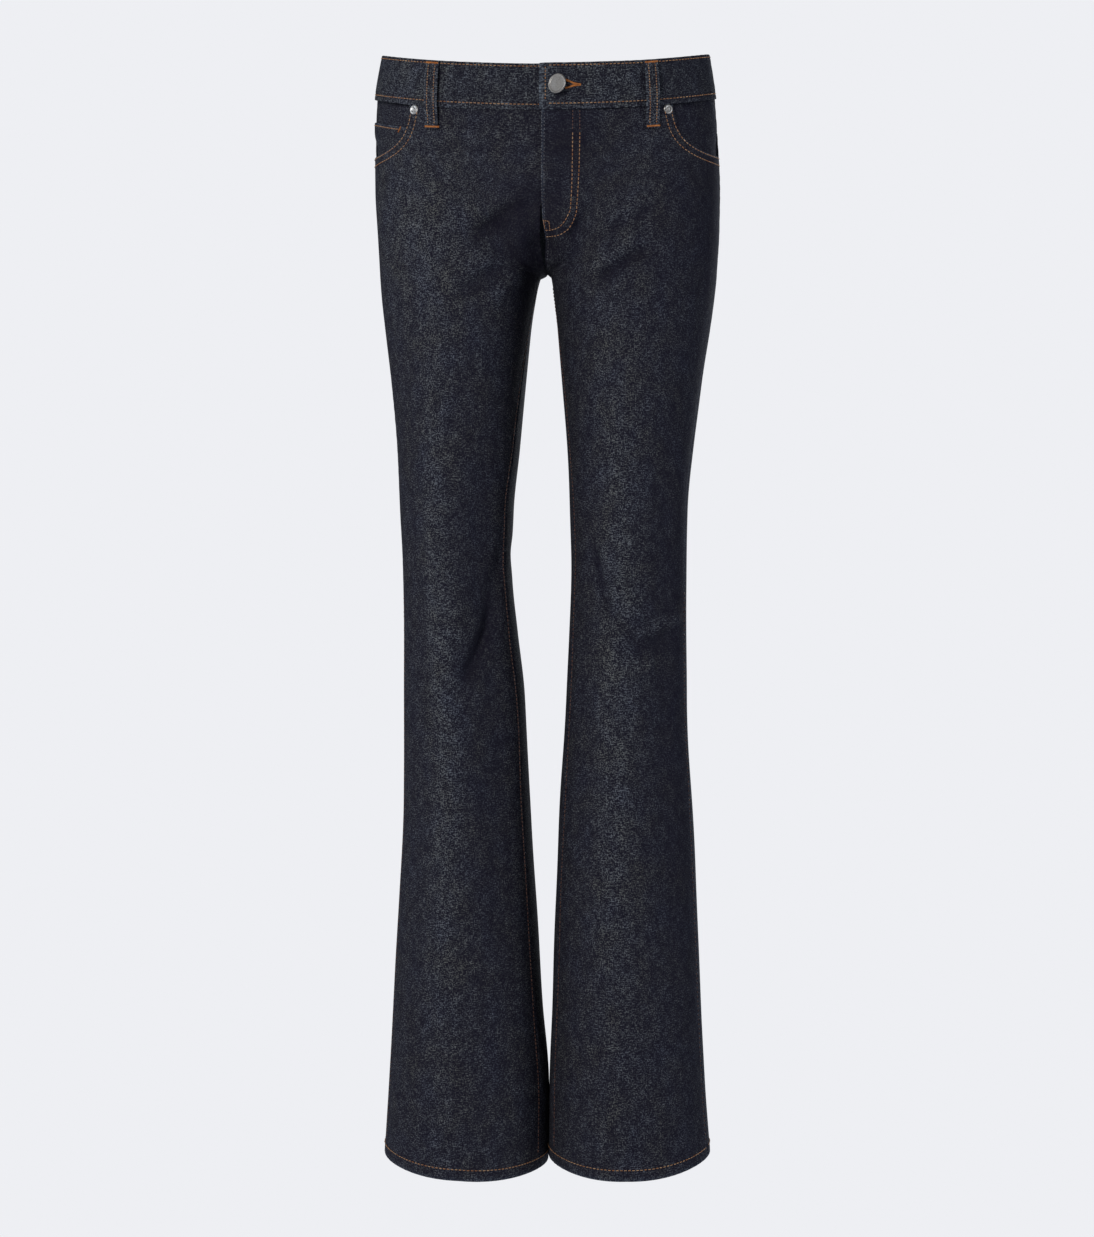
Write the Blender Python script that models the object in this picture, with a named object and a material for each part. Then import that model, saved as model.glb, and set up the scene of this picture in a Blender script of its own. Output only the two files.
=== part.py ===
"""Bootcut jeans, filled out with no wearer: sewn panels of denim with a button, rivets and a closed zip.

Metres, +Z up. The front faces -Y and the wearer's left is +X. The origin is the middle of the waistband's ring.
Every cloth piece is a wall between two faces that follow one surface, `fabric`, worked out from the sections below.
"""

import math
from collections import namedtuple

import bpy
import numpy as np
from mathutils import Matrix, Vector

# Sections of the garment, a row a height, from the waistband's top to the hem.
# z is the row's height at the side seam. *_out is a leg's outer edge and *_in its inner edge, seen from the front.
# pinch is the share by which the inseam is drawn in to the middle, at the crotch. front and back are the profile's
# depths. The turns are how far forward the inseam and the side seam lie, in degrees.
Section = namedtuple(
    "Section", "z right_out right_in left_in left_out pinch front back inseam_turn side_turn"
)
SECTIONS = (
    Section(0.0204, -0.1590, 0.0000, 0.0000, 0.1562, 1.00, -0.095, 0.092, 0, 0.0),
    Section(-0.0206, -0.1655, 0.0000, 0.0000, 0.1622, 1.00, -0.099, 0.100, 0, 0.0),
    Section(-0.0600, -0.1670, 0.0000, 0.0000, 0.1652, 1.00, -0.103, 0.112, 0, 0.0),
    Section(-0.1100, -0.1667, 0.0000, 0.0000, 0.1676, 1.00, -0.105, 0.121, 0, 0.5),
    Section(-0.1500, -0.1647, -0.0035, 0.0020, 0.1670, 1.00, -0.103, 0.122, 0, 1.2),
    Section(-0.1900, -0.1623, -0.0085, 0.0050, 0.1646, 1.00, -0.1010, 0.113, 1, 2.2),
    Section(-0.1935, -0.1621, -0.0090, 0.0053, 0.1644, 0.30, -0.1007, 0.112, 1.4, 2.3),
    Section(-0.2150, -0.1603, -0.0118, 0.0075, 0.1622, 0.07, -0.0990, 0.106, 4, 3.2),
    Section(-0.2450, -0.1566, -0.0152, 0.0107, 0.1582, 0.00, -0.0965, 0.098, 8, 4.8),
    Section(-0.3000, -0.1500, -0.0206, 0.0158, 0.1494, 0.00, -0.0920, 0.087, 15, 8.0),
    Section(-0.3600, -0.1446, -0.0260, 0.0198, 0.1416, 0.00, -0.086, 0.077, 21, 11.5),
    Section(-0.4200, -0.1418, -0.0323, 0.0226, 0.1366, 0.00, -0.081, 0.069, 24, 14.0),
    Section(-0.4700, -0.1392, -0.0335, 0.0240, 0.1355, 0.00, -0.077, 0.064, 24, 15.0),
    Section(-0.5400, -0.1381, -0.0284, 0.0219, 0.1353, 0.00, -0.074, 0.061, 24, 15.0),
    Section(-0.6000, -0.1382, -0.0217, 0.0187, 0.1357, 0.00, -0.072, 0.063, 24, 15.0),
    Section(-0.7000, -0.1390, -0.0166, 0.0132, 0.1405, 0.00, -0.071, 0.071, 24, 15.0),
    Section(-0.8000, -0.1442, -0.0106, 0.0084, 0.1451, 0.00, -0.073, 0.080, 24, 15.0),
    Section(-0.9000, -0.1499, -0.0038, 0.0052, 0.1492, 0.00, -0.077, 0.086, 24, 15.0),
    Section(-0.9800, -0.1541, 0.0013, 0.0026, 0.1532, 0.00, -0.080, 0.090, 24, 15.0),
    Section(-1.0440, -0.1580, 0.0016, 0.0025, 0.1580, 0.00, -0.083, 0.092, 24, 15.0),
)
BAND_TOP = 0.0204
BAND_BOTTOM = -0.0206
CROTCH = -0.1900
HEM = -1.0440
RIGHT, LEFT = -1, 1

# The waistband slopes: low in front, a little high behind, and level again by the seat.
WAIST_SLOPE = 0.1856
WAIST_SAG = 1.06
WAIST_LEAN = -0.009
WAIST_LEVEL_BY = -0.150
# The hem hangs lower in front, behind and inside than at the side seam; the left leg's is a little higher.
HEM_CURVE_FROM = -0.850
HEM_DIP = {"front": 0.0095, "back": 0.0060, "inner": 0.0030}
HEM_LIFT = {RIGHT: 0.0, LEFT: 0.0035}
PINCH_POWER = 6
TORSO_SQUARENESS = 2.2
LEG_SQUARENESS = 2.1
# The crotch seam leaves each profile at a height, and turns under with a squareness. Away from it, by a share of
# the panel's width, the torso's oval becomes the legs' ovals between two heights.
Fork = namedtuple("Fork", "start squareness")
FORKS = {"front": Fork(-0.128, 2.6), "back": Fork(-0.090, 2.0)}
FORK_REACH = 0.50
LEGS_FROM, LEGS_BY = 0.000, -0.270

# The largest folds, a row each: soft troughs (depth below zero) and ridges, from one end to the other.
# across is the share of the panel's width from its inner seam, z the height, width the fold's reach either side.
Fold = namedtuple("Fold", "side half across_a z_a across_b z_b width depth")
FOLDS = (
    Fold(RIGHT, "front", 0.30, -0.515, 0.72, -0.590, 0.026, -0.0030),
    Fold(RIGHT, "front", 0.05, -0.440, 0.40, -0.480, 0.024, -0.0018),
    Fold(RIGHT, "back", 0.05, -0.455, 0.75, -0.500, 0.030, -0.0030),
    Fold(RIGHT, "back", 0.20, -0.560, 0.90, -0.535, 0.028, -0.0025),
    Fold(LEFT, "front", 0.25, -0.545, 0.60, -0.520, 0.024, -0.0022),
    Fold(LEFT, "front", 0.15, -0.165, 0.62, -0.135, 0.018, -0.0022),
    Fold(LEFT, "back", 0.08, -0.470, 0.80, -0.490, 0.030, -0.0030),
    Fold(LEFT, "back", 0.15, -0.575, 0.85, -0.545, 0.028, -0.0025),
)

PANEL_WIDTH = 0.205  # a panel's usual width, to turn lengths into shares of it
DENIM = 0.0012
SEAM_GAP = 0.0003
LAYER_GAP = 0.0005
FRONT_COLUMNS = 11
BACK_COLUMNS = 10
HEM_FOLD = 0.0110
BAND = {"proud": 0.0016, "thickness": 0.0030, "overlap": 0.036, "lap_lift": 0.00165, "lap_blend": 0.050}
FLY = {"width": 0.034, "bottom": -0.1650, "lift": 0.0009, "tuck": 0.005, "tuck_end": -0.140, "blend": 0.010}
POCKET = {"mouth": 0.086, "depth": 0.0575, "squareness": 3.0, "underlap": 0.012}
FACING_DEPTH = {RIGHT: 0.0043, LEFT: 0.0026}
COIN_POCKET = {"drop": 0.0235, "bottom": 0.064, "from_side": 0.004, "reach": 0.094, "thickness": 0.0010}
YOKE_DROP = {"centre": 0.062, "side": 0.033}
BACK_POCKET = {
    "from_side": 0.056, "below_yoke": 0.012, "width": 0.120, "foot": 0.100, "side": 0.096, "tip": 0.020,
    "gap": 0.0009
}
LOOP = {"width": 0.0135, "below": 0.023, "bow": 0.0028, "thickness": 0.0018}
LOOP_FROM_CENTRE = {"front": 0.107, "back": 0.112}
BUTTON = {
    "from_centre": 0.0143, "drop": -0.0232, "radius": 0.0098, "height": 0.0034, "shank": 0.0026, "neck": 0.0036,
    "turn": -24
}
BUTTONHOLE = {"from_centre": 0.0105, "length": 0.0250, "eye": 0.0036, "slit": 0.0011}
RIVET = {"inside_mouth": 0.0055, "drop": 0.0052, "radius": 0.0047, "height": 0.0013, "nub": 0.0013}
ZIP = {"inner": -0.008, "outer": 0.022, "top": 0.003, "bottom": 0.112, "depth": 0.0034, "thickness": 0.0010}
SHIELD = {"inner": -0.010, "outer": 0.038, "top": 0.0006, "bottom": 0.116, "depth": 0.0047, "thickness": 0.0016}

INDIGO = (0.017, 0.020, 0.034)
PEWTER = (0.42, 0.42, 0.41)


def through_rows(column, z):
    """A column of SECTIONS at the heights z, on a curve through its rows that doesn't overshoot them."""
    rows = SECTIONS[::-1]
    heights = np.array([row.z for row in rows])
    values = np.array([getattr(row, column) for row in rows])
    step = np.diff(heights)
    slope = np.diff(values) / step
    one_way = slope[:-1] * slope[1:] > 0
    below = np.where(one_way, slope[:-1], 1.0)
    above = np.where(one_way, slope[1:], 1.0)
    weight_a = 2 * step[1:] + step[:-1]
    weight_b = step[1:] + 2 * step[:-1]
    tangent = np.zeros(len(values))
    tangent[0], tangent[-1] = slope[0], slope[-1]
    tangent[1:-1] = np.where(one_way, (weight_a + weight_b) / (weight_a / below + weight_b / above), 0)
    k = np.clip(np.searchsorted(heights, z) - 1, 0, len(step) - 1)
    t = (z - heights[k]) / step[k]
    start = (1 + 2 * t) * (1 - t) ** 2 * values[k] + t * (1 - t) ** 2 * step[k] * tangent[k]
    end = t * t * (3 - 2 * t) * values[k + 1] + t * t * (t - 1) * step[k] * tangent[k + 1]
    return start + end


def smooth(t):
    t = np.clip(t, 0, 1)
    return t * t * (3 - 2 * t)


def signed_power(value, power):
    return np.sign(value) * np.abs(value) ** power


def pattern_point(side, half, across, z):
    """The unfolded surface: across runs from the centre seam or inseam, 0, to the side seam, 1."""
    across, z = np.broadcast_arrays(np.asarray(across, float), np.asarray(z, float))
    who = "left" if side == LEFT else "right"
    outer = through_rows(who + "_out", z)
    inner = through_rows(who + "_in", z)
    front = through_rows("front", z)
    back = through_rows("back", z)
    # the quarter of the torso's oval
    angle = across * math.pi / 2
    power = 2 / TORSO_SQUARENESS
    torso_x = outer * signed_power(np.sin(angle), power)
    torso_y = (front if half == "front" else back) * signed_power(np.cos(angle), power)
    # the half of the leg's oval, from inseam to side seam
    inseam = np.radians(through_rows("inseam_turn", z))
    side_seam = np.radians(through_rows("side_turn", z))
    if half == "front":
        turn = inseam + across * (math.pi - side_seam - inseam)
    else:
        turn = inseam - across * (math.pi + side_seam + inseam)
    power = 2 / LEG_SQUARENESS
    middle_x = (outer + inner) / 2
    middle_y = (front + back) / 2
    half_width = np.abs(outer - inner) / 2
    half_depth = (back - front) / 2
    leg_x = middle_x - side * half_width * signed_power(np.cos(turn), power)
    leg_x = leg_x - inner * through_rows("pinch", z) * np.clip(np.cos(turn), 0, 1) ** PINCH_POWER
    leg_y = middle_y - half_depth * signed_power(np.sin(turn), power)
    # the fork: the centre seam turns under to meet the inseam
    fork = FORKS[half]
    way = np.clip((fork.start - z) / (fork.start - CROTCH), 0, 1)
    at_seam = 1 - (1 - way**fork.squareness) ** (1 / fork.squareness)
    near_seam = (1 - smooth(np.abs(across) / FORK_REACH)) ** 2
    leg_share = at_seam * near_seam + smooth((LEGS_FROM - z) / (LEGS_FROM - LEGS_BY)) * (1 - near_seam)
    x = torso_x * (1 - leg_share) + leg_x * leg_share
    y = torso_y * (1 - leg_share) + leg_y * leg_share
    # the waist's slope and the hem's curve
    level = smooth((z - WAIST_LEVEL_BY) / (BAND_BOTTOM - WAIST_LEVEL_BY))
    waist = (WAIST_SLOPE * y - WAIST_SAG * y * y + WAIST_LEAN * x) * level
    forward = (leg_y - middle_y) / half_depth
    inward = np.clip((middle_x - leg_x) * side / half_width, 0, 1)
    dip = np.where(forward < 0, HEM_DIP["front"], HEM_DIP["back"]) * forward**2 + HEM_DIP["inner"] * inward
    hem = smooth((HEM_CURVE_FROM - z) / (HEM_CURVE_FROM - HEM)) * (HEM_LIFT[side] - dip)
    return np.stack([x, y, z + waist + hem], -1)


def outward(side, half, across, z):
    """The surface's unit normal, pointing out of the garment."""
    step_across, step_z = 0.012, 0.0015
    before, after = (pattern_point(side, half, across + step, z) for step in (-step_across, step_across))
    below, above = (pattern_point(side, half, across, z + step) for step in (-step_z, step_z))
    normal = np.cross(after - before, above - below) * side * (1 if half == "front" else -1)
    return normal / np.linalg.norm(normal, axis=-1, keepdims=True)


def fold_height(side, half, across, z):
    """How far the folds lift the cloth there."""
    lift = np.zeros(np.broadcast(across, z).shape)
    for fold in FOLDS:
        if fold.side != side or fold.half != half:
            continue
        along = np.array([(fold.across_b - fold.across_a) * PANEL_WIDTH, fold.z_b - fold.z_a])
        length = np.hypot(*along)
        from_a = np.stack(np.broadcast_arrays((across - fold.across_a) * PANEL_WIDTH, z - fold.z_a), -1)
        t = from_a @ along / length**2
        off = np.abs(from_a @ np.array([-along[1], along[0]]) / length)
        ends = smooth(t / 0.35) * smooth((1 - t) / 0.35)
        lift = lift + fold.depth * ends * np.exp(-((off / (0.5 * fold.width)) ** 2))
    return lift


def fabric(side, half, across, z, out=0.0):
    """Points of the cloth, folds included, moved out of the garment by `out`."""
    lift = fold_height(side, half, across, z) + out
    return pattern_point(side, half, across, z) + outward(side, half, across, z) * np.asarray(lift)[..., None]


def across_at(side, half, z, from_centre=None, from_side=None):
    """The share of the panel's width at a distance along the cloth from its centre or its side seam."""
    shares = np.linspace(0, 1, 49)
    row = pattern_point(side, half, shares, z)
    run = np.concatenate([[0], np.cumsum(np.linalg.norm(np.diff(row, axis=0), axis=1))])
    distance = run[-1] - from_side if from_centre is None else from_centre
    if distance < 0:  # past the centre seam, on the other half
        return float(distance / run[1] * shares[1])
    return float(np.interp(distance, run, shares))


def spots(side, half, places, out, reference="from_centre"):
    """Points for a grid of (distance from the centre seam or side seam, drop below the waistband) pairs."""
    z = BAND_BOTTOM - places.reshape(-1, 2)[:, 1]
    runs = places.reshape(-1, 2)[:, 0]
    across = np.array([across_at(side, half, height, **{reference: run}) for run, height in zip(runs, z)])
    out = np.broadcast_to(out, places.shape[:-1]).reshape(-1)
    return fabric(side, half, across, z, out).reshape(*places.shape[:-1], 3)


def material(name, colour, roughness, metallic=0.0):
    found = bpy.data.materials.get(name)
    if found:
        return found
    made = bpy.data.materials.new(name)
    made.use_nodes = True
    shader = made.node_tree.nodes["Principled BSDF"]
    shader.inputs["Base Color"].default_value = (*colour, 1)
    shader.inputs["Roughness"].default_value = roughness
    shader.inputs["Metallic"].default_value = metallic
    return made


def add_object(name, points, faces, finish, smooth_by=None):
    mesh = bpy.data.meshes.new(name)
    mesh.from_pydata([tuple(p) for p in points], [], faces)
    mesh.materials.append(finish)
    made = bpy.data.objects.new(name, mesh)
    bpy.context.scene.collection.objects.link(made)
    if smooth_by:
        mesh.shade_smooth()
        mesh.set_sharp_from_angle(angle=math.radians(smooth_by))
    return made


def turned_over(face):
    """The face seen from its other side, from the same first corner, so that it splits along the same diagonal."""
    return face[:1] + face[:0:-1]


def wall(name, outer, inner, finish):
    """One closed wall between two grids of points of the same shape, its faces outwards."""
    rows, columns = outer.shape[:2]
    count = rows * columns
    points = np.concatenate([outer.reshape(-1, 3), inner.reshape(-1, 3)])
    corner = np.arange(count).reshape(rows, columns)
    faces = []
    for r in range(rows - 1):
        for c in range(columns - 1):
            ring = [int(i) for i in (corner[r + 1, c], corner[r, c], corner[r, c + 1], corner[r + 1, c + 1])]
            faces.append(ring)
            faces.append([i + count for i in turned_over(ring)])
    rim = [*corner[0, :], *corner[1:, -1], *corner[-1, -2::-1], *corner[-2:0:-1, 0]]
    for a, b in zip(rim, rim[1:] + rim[:1]):
        faces.append([int(a), int(a) + count, int(b) + count, int(b)])
    across, down = outer[0, 1] - outer[0, 0], outer[1, 0] - outer[0, 0]
    if np.dot(np.cross(across, down), outer[0, 0] - inner[0, 0]) < 0:
        faces = [turned_over(face) for face in faces]
    return add_object(name, points, faces, finish, smooth_by=40)


def denim():
    return material("denim", INDIGO, 0.85)


def metal():
    return material("pewter_metal", PEWTER, 0.35, 0.9)


def pocket_curve():
    """The scooped mouth's edge, from the waistband to the side seam: (distance from the side seam, drop)."""
    power = 2 / POCKET["squareness"]
    angle = np.radians((0, 18, 36, 52, 66, 77, 85, 90))
    run = POCKET["mouth"] * np.maximum(np.cos(angle), 0) ** power
    drop = POCKET["depth"] * np.maximum(np.sin(angle), 0) ** power
    run[-1] = 0
    return np.stack([run, drop], -1)


def leg_rows():
    """Row heights below the pockets, closest where the crotch seam turns under and at the hem's fold."""
    start = FORKS["front"].start
    turn = [start - (start - CROTCH) * math.sin(math.radians(a)) for a in (0, 20, 38, 56, 73, 90)]
    saddle = [CROTCH - 0.0035, CROTCH - 0.012, -0.218, -0.245, -0.275]
    leg = list(np.linspace(-0.310, HEM + HEM_FOLD + 0.006, 16))
    return turn + saddle + leg + [HEM + HEM_FOLD, HEM + HEM_FOLD - 0.001, HEM]


def wall_thickness(z):
    """The hem is folded double."""
    return np.where(z < HEM + HEM_FOLD - 0.0005, 2 * DENIM, DENIM)


def fly_lift(side, half, across, z):
    """The left front lies over the right one along the fly."""
    if half == "back":
        return np.zeros(np.shape(across))
    distance = np.abs(across) * PANEL_WIDTH
    closed = smooth((z - FLY["bottom"]) / 0.004)
    if side == LEFT:
        return FLY["lift"] * (1 - smooth((distance - FLY["width"]) / FLY["blend"])) * closed
    return -FLY["lift"] * (1 - smooth((distance - FLY["tuck"]) / (2 * FLY["blend"]))) * closed


def panel(name, side, half, across, z):
    """A front or back panel from its grid of places."""
    lift = fly_lift(side, half, across, z)
    outer = fabric(side, half, across, z, lift)
    inner = fabric(side, half, across, z, lift - wall_thickness(z))
    return wall(name, outer, inner, denim())


def inside_seams(shares):
    """The shares drawn in by half a seam's gap at both edges."""
    edge = 0.5 * SEAM_GAP / PANEL_WIDTH
    return edge + shares * (1 - 2 * edge)


def front_panel(name, side):
    """The top edge follows the waistband, then the pocket's scoop down to the side seam."""
    mouth = pocket_curve()
    mouth_share = across_at(side, "front", BAND_BOTTOM, from_side=POCKET["mouth"])
    plain = FRONT_COLUMNS + 1 - len(mouth)
    top_across = list(np.linspace(0, mouth_share, plain + 1)[:-1])
    top_drop = [0.0] * plain
    for run, drop in mouth:
        top_across.append(across_at(side, "front", BAND_BOTTOM - drop, from_side=run))
        top_drop.append(drop)
    top_across = np.array(top_across)
    top_z = BAND_BOTTOM - SEAM_GAP - np.array(top_drop)
    even = np.linspace(0, 1, FRONT_COLUMNS + 1)
    rows = leg_rows()
    grid_across, grid_z = [], []
    blend_rows = 5
    for r in range(blend_rows):
        t = r / blend_rows
        grid_across.append(top_across * (1 - t) + even * t)
        grid_z.append(top_z * (1 - t) + rows[0] * t)
    for z in rows:
        grid_across.append(even)
        grid_z.append(np.full(len(even), z))
    across, z = inside_seams(np.array(grid_across)), np.array(grid_z)
    # one more column beside the centre seam; the right front's edge is tucked under the left one along the fly
    across = np.insert(across, 1, 0.75 * across[:, 0] + 0.25 * across[:, 1], axis=1)
    z = np.insert(z, 1, z[:, 0], axis=1)
    if side == RIGHT:
        across[z[:, 0] > FLY["tuck_end"], 0] = -FLY["tuck"] / PANEL_WIDTH
    return panel(name, side, "front", across, z)


def yoke_z(side, shares, gap):
    """The yoke seam's height over the back, straight from the centre seam to the side seam."""
    drop = YOKE_DROP["centre"] + (YOKE_DROP["side"] - YOKE_DROP["centre"]) * shares
    return BAND_BOTTOM - drop + gap


def back_panel(name, side):
    even = np.linspace(0, 1, BACK_COLUMNS + 1)
    rows = leg_rows()
    top_z = yoke_z(side, even, -0.5 * SEAM_GAP)
    grid_z = [top_z * (1 - r / 3) + rows[0] * r / 3 for r in range(3)]
    grid_z += [np.full(len(even), z) for z in rows]
    z = np.array(grid_z)
    across = np.broadcast_to(inside_seams(even), z.shape)
    return panel(name, side, "back", across, z)


def yoke(name, side):
    even = np.linspace(0, 1, BACK_COLUMNS + 1)
    top_z = np.full(len(even), BAND_BOTTOM - SEAM_GAP)
    low_z = yoke_z(side, even, 0.5 * SEAM_GAP)
    z = np.array([top_z * (1 - t) + low_z * t for t in np.linspace(0, 1, 4)])
    across = np.broadcast_to(inside_seams(even), z.shape)
    return panel(name, side, "back", across, z)


def facing_depth(side, run, drop):
    """The facing lies under the pocket's mouth, and comes up to the cloth's face only at the side seam."""
    power = POCKET["squareness"]
    inside = 1 - ((run / POCKET["mouth"]) ** power + (drop / POCKET["depth"]) ** power) ** (1 / power)
    deep = FACING_DEPTH[side]
    raised = smooth((inside - 0.10) / 0.35) * (1 - smooth(run / 0.035))
    return deep - (deep - LAYER_GAP) * raised


def side_patch(name, side, runs, drops, depth, thickness):
    """A patch placed by its distance from the side seam, `depth` below the cloth's face."""
    run, drop = np.meshgrid(runs, drops)
    z = BAND_BOTTOM - drop
    across = np.array([[across_at(side, "front", z[r, c], from_side=run[r, c]) for c in range(run.shape[1])]
                       for r in range(run.shape[0])])
    across = np.minimum(across, inside_seams(1))
    down = depth(side, run, drop)
    outer = fabric(side, "front", across, z, -down)
    inner = fabric(side, "front", across, z, -down - thickness)
    return wall(name, outer, inner, denim())


def pocket_facing(name, side):
    runs = np.linspace(POCKET["mouth"] + POCKET["underlap"], 0, 9)
    drops = np.linspace(SEAM_GAP, POCKET["depth"] + POCKET["underlap"], 7)
    return side_patch(name, side, runs, drops, facing_depth, DENIM)


def coin_depth(side, run, drop):
    return facing_depth(side, run, drop) - LAYER_GAP - COIN_POCKET["thickness"]


def coin_pocket(name):
    runs = np.linspace(COIN_POCKET["reach"], COIN_POCKET["from_side"], 10)
    drops = np.linspace(COIN_POCKET["drop"], COIN_POCKET["bottom"], 6)
    return side_patch(name, RIGHT, runs, drops, coin_depth, COIN_POCKET["thickness"])


def band_stations():
    """(side, half, share, lift) round the waistband, from the end that lies under to the end on top."""
    per_quarter = 10
    lap = BAND["overlap"] / PANEL_WIDTH
    lapped = np.linspace(lap, 0, 5)
    blend_to = BAND["lap_blend"] / PANEL_WIDTH
    stations = [(LEFT, "front", share, -BAND["lap_lift"]) for share in lapped[:-1]]
    for share in np.linspace(0, 1, per_quarter + 1):
        sunk = 1 - smooth(share / blend_to)
        stations.append((RIGHT, "front", share, -BAND["lap_lift"] * sunk))
    stations += [(RIGHT, "back", share, 0.0) for share in np.linspace(1, 0, per_quarter + 1)[1:]]
    stations += [(LEFT, "back", share, 0.0) for share in np.linspace(0, 1, per_quarter + 1)[1:]]
    beyond = np.linspace(1, lap, per_quarter - 1)[1:]
    for share in [*beyond, *lapped[1:]]:
        raised = 1 - smooth((share - lap) / blend_to)
        stations.append((LEFT, "front", share, BAND["lap_lift"] * raised))
    return stations


def waistband(name):
    heights = np.linspace(BAND_TOP, BAND_BOTTOM, 4)
    outer, inner = [], []
    for side, half, share, lift in band_stations():
        face = lift + BAND["proud"]
        outer.append(fabric(side, half, share, heights, face))
        inner.append(fabric(side, half, share, heights, face - BAND["thickness"]))
    outer, inner = np.array(outer), np.array(inner)
    band = wall(name, outer.swapaxes(0, 1), inner.swapaxes(0, 1), denim())
    cut = band.modifiers.new("buttonhole", "BOOLEAN")
    cut.operation = "DIFFERENCE"
    cut.object = buttonhole_cutter()
    return band


def buttonhole_cutter():
    """A slit with a round eye at the button, through the top layer of the lap only."""
    length, eye = BUTTONHOLE["length"], BUTTONHOLE["eye"]
    stations = np.linspace(0, 1, 15) ** 1.3 * length
    half_heights = []
    for x in stations:
        round_part = math.sqrt(max(eye**2 - (x - eye) ** 2, 0)) if x < 2 * eye else 0
        half_heights.append(max(round_part, BUTTONHOLE["slit"]))
    places = np.array([[(BUTTONHOLE["from_centre"] + x, BUTTON["drop"] + h * sign) for x, h in
                        zip(stations, half_heights)] for sign in (-1, 1)])
    lift = BAND["lap_lift"] + BAND["proud"]
    outer = spots(LEFT, "front", places, lift + 0.004)
    inner = spots(LEFT, "front", places, lift - BAND["thickness"] - 0.4 * SEAM_GAP)
    cutter = wall("buttonhole_cutter", outer, inner, denim())
    cutter.hide_render = True
    cutter.display_type = "WIRE"
    return cutter


def belt_loop(name, side, half, from_centre):
    """A strip sewn at the waistband's top edge and on the panel below, bowed a little off the waistband."""
    band_height = BAND_TOP - BAND_BOTTOM
    drops = np.array([-band_height + 0.0005, -0.036, -0.028, -0.018, -0.008, 0.000, 0.008, 0.014, LOOP["below"]])
    width = np.linspace(-0.5, 0.5, 3) * LOOP["width"]
    over_band = BAND["proud"] + LAYER_GAP
    bows = np.array([0.0, 0.45, 0.9, 1.0, 0.95, 0.85, 0.35, 0.05, 0.0]) * LOOP["bow"]
    rest = np.array([over_band] * 7 + [LAYER_GAP + 0.0004, LAYER_GAP])
    places = np.array([[(from_centre + w, drop) for w in width] for drop in drops])
    inner_out = np.repeat((rest + bows)[:, None], len(width), 1)
    inner = spots(side, half, places, inner_out)
    outer = spots(side, half, places, inner_out + LOOP["thickness"])
    return wall(name, outer, inner, denim())


def back_pocket(name, side):
    """A patch with a pointed foot, on the back panel."""
    columns, rows = 11, 8
    places = []
    for r in range(rows):
        t = r / (rows - 1)
        width = BACK_POCKET["width"] + (BACK_POCKET["foot"] - BACK_POCKET["width"]) * t
        line = []
        for c in range(columns):
            u = c / (columns - 1)
            run = BACK_POCKET["from_side"] + BACK_POCKET["width"] / 2 + (u - 0.5) * width
            point = BACK_POCKET["tip"] * (1 - abs(2 * u - 1)) * t
            yoke_slope = (YOKE_DROP["centre"] - YOKE_DROP["side"]) / 0.215
            top = YOKE_DROP["side"] + yoke_slope * run + BACK_POCKET["below_yoke"]
            line.append((run, top + BACK_POCKET["side"] * t + point))
        places.append(line)
    places = np.array(places)
    outer = spots(side, "back", places, BACK_POCKET["gap"] + DENIM, "from_side")
    inner = spots(side, "back", places, BACK_POCKET["gap"], "from_side")
    return wall(name, outer, inner, denim())


def inner_strip(name, shape, columns, rows, finish):
    """A strip behind the fly, `depth` below the cloth's face."""
    runs = np.linspace(shape["inner"], shape["outer"], columns)
    drops = np.linspace(shape["top"], shape["bottom"], rows)
    places = np.stack(np.meshgrid(runs, drops), -1)
    outer = spots(LEFT, "front", places, -shape["depth"])
    inner = spots(LEFT, "front", places, -shape["depth"] - shape["thickness"])
    return wall(name, outer, inner, finish)


def turned(name, profile, centre, axis, turns, finish):
    """A solid of revolution: the profile's (radius, height) points, first and last on the axis."""
    axis = np.asarray(axis) / np.linalg.norm(axis)
    sideways = np.cross(axis, (0, 0, 1.0))
    sideways /= np.linalg.norm(sideways)
    upward = np.cross(axis, sideways)
    points = [centre + axis * profile[0][1]]
    for radius, height in profile[1:-1]:
        for k in range(turns):
            a = 2 * math.pi * k / turns
            points.append(centre + axis * height + radius * (math.cos(a) * sideways + math.sin(a) * upward))
    points.append(centre + axis * profile[-1][1])
    faces = []
    rings = len(profile) - 2
    last = len(points) - 1
    for k in range(turns):
        n = (k + 1) % turns
        faces.append([0, 1 + n, 1 + k])
        for r in range(rings - 1):
            base = 1 + r * turns
            faces.append([base + k, base + n, base + turns + n, base + turns + k])
        base = 1 + (rings - 1) * turns
        faces.append([last, base + k, base + n])
    return add_object(name, points, faces, finish, smooth_by=35)


def button(name):
    """The head, turned sideways, on its shank through the buttonhole's eye down to the layer below."""
    place = np.array([[(BUTTON["from_centre"], BUTTON["drop"])]])
    lap = BAND["lap_lift"] + BAND["proud"]
    seat = spots(LEFT, "front", place, lap)[0, 0]
    inside = spots(LEFT, "front", place, lap - 0.001)[0, 0]
    axis = (seat - inside) / np.linalg.norm(seat - inside)
    reach = BAND["thickness"] + SEAM_GAP - 0.0001
    shank, radius, height, neck = BUTTON["shank"], BUTTON["radius"], BUTTON["height"], BUTTON["neck"]
    profile = [
        (0, -reach), (shank, -reach), (shank, neck), (radius * 0.80, neck + 0.0002), (radius, neck + 0.0010),
        (radius, neck + height - 0.0012), (radius * 0.92, neck + height - 0.0006),
        (radius * 0.80, neck + height - 0.0013), (0, neck + height - 0.0009),
    ]
    made = turned(name, profile, seat, axis, 28, metal())
    pivot = Vector(seat + axis * neck)
    turn = Matrix.Rotation(math.radians(BUTTON["turn"]), 4, "Z")
    for vertex in made.data.vertices:
        if (vertex.co - pivot).dot(Vector(axis)) > 0.0001:
            vertex.co = pivot + turn @ (vertex.co - pivot)
    return made


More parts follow.
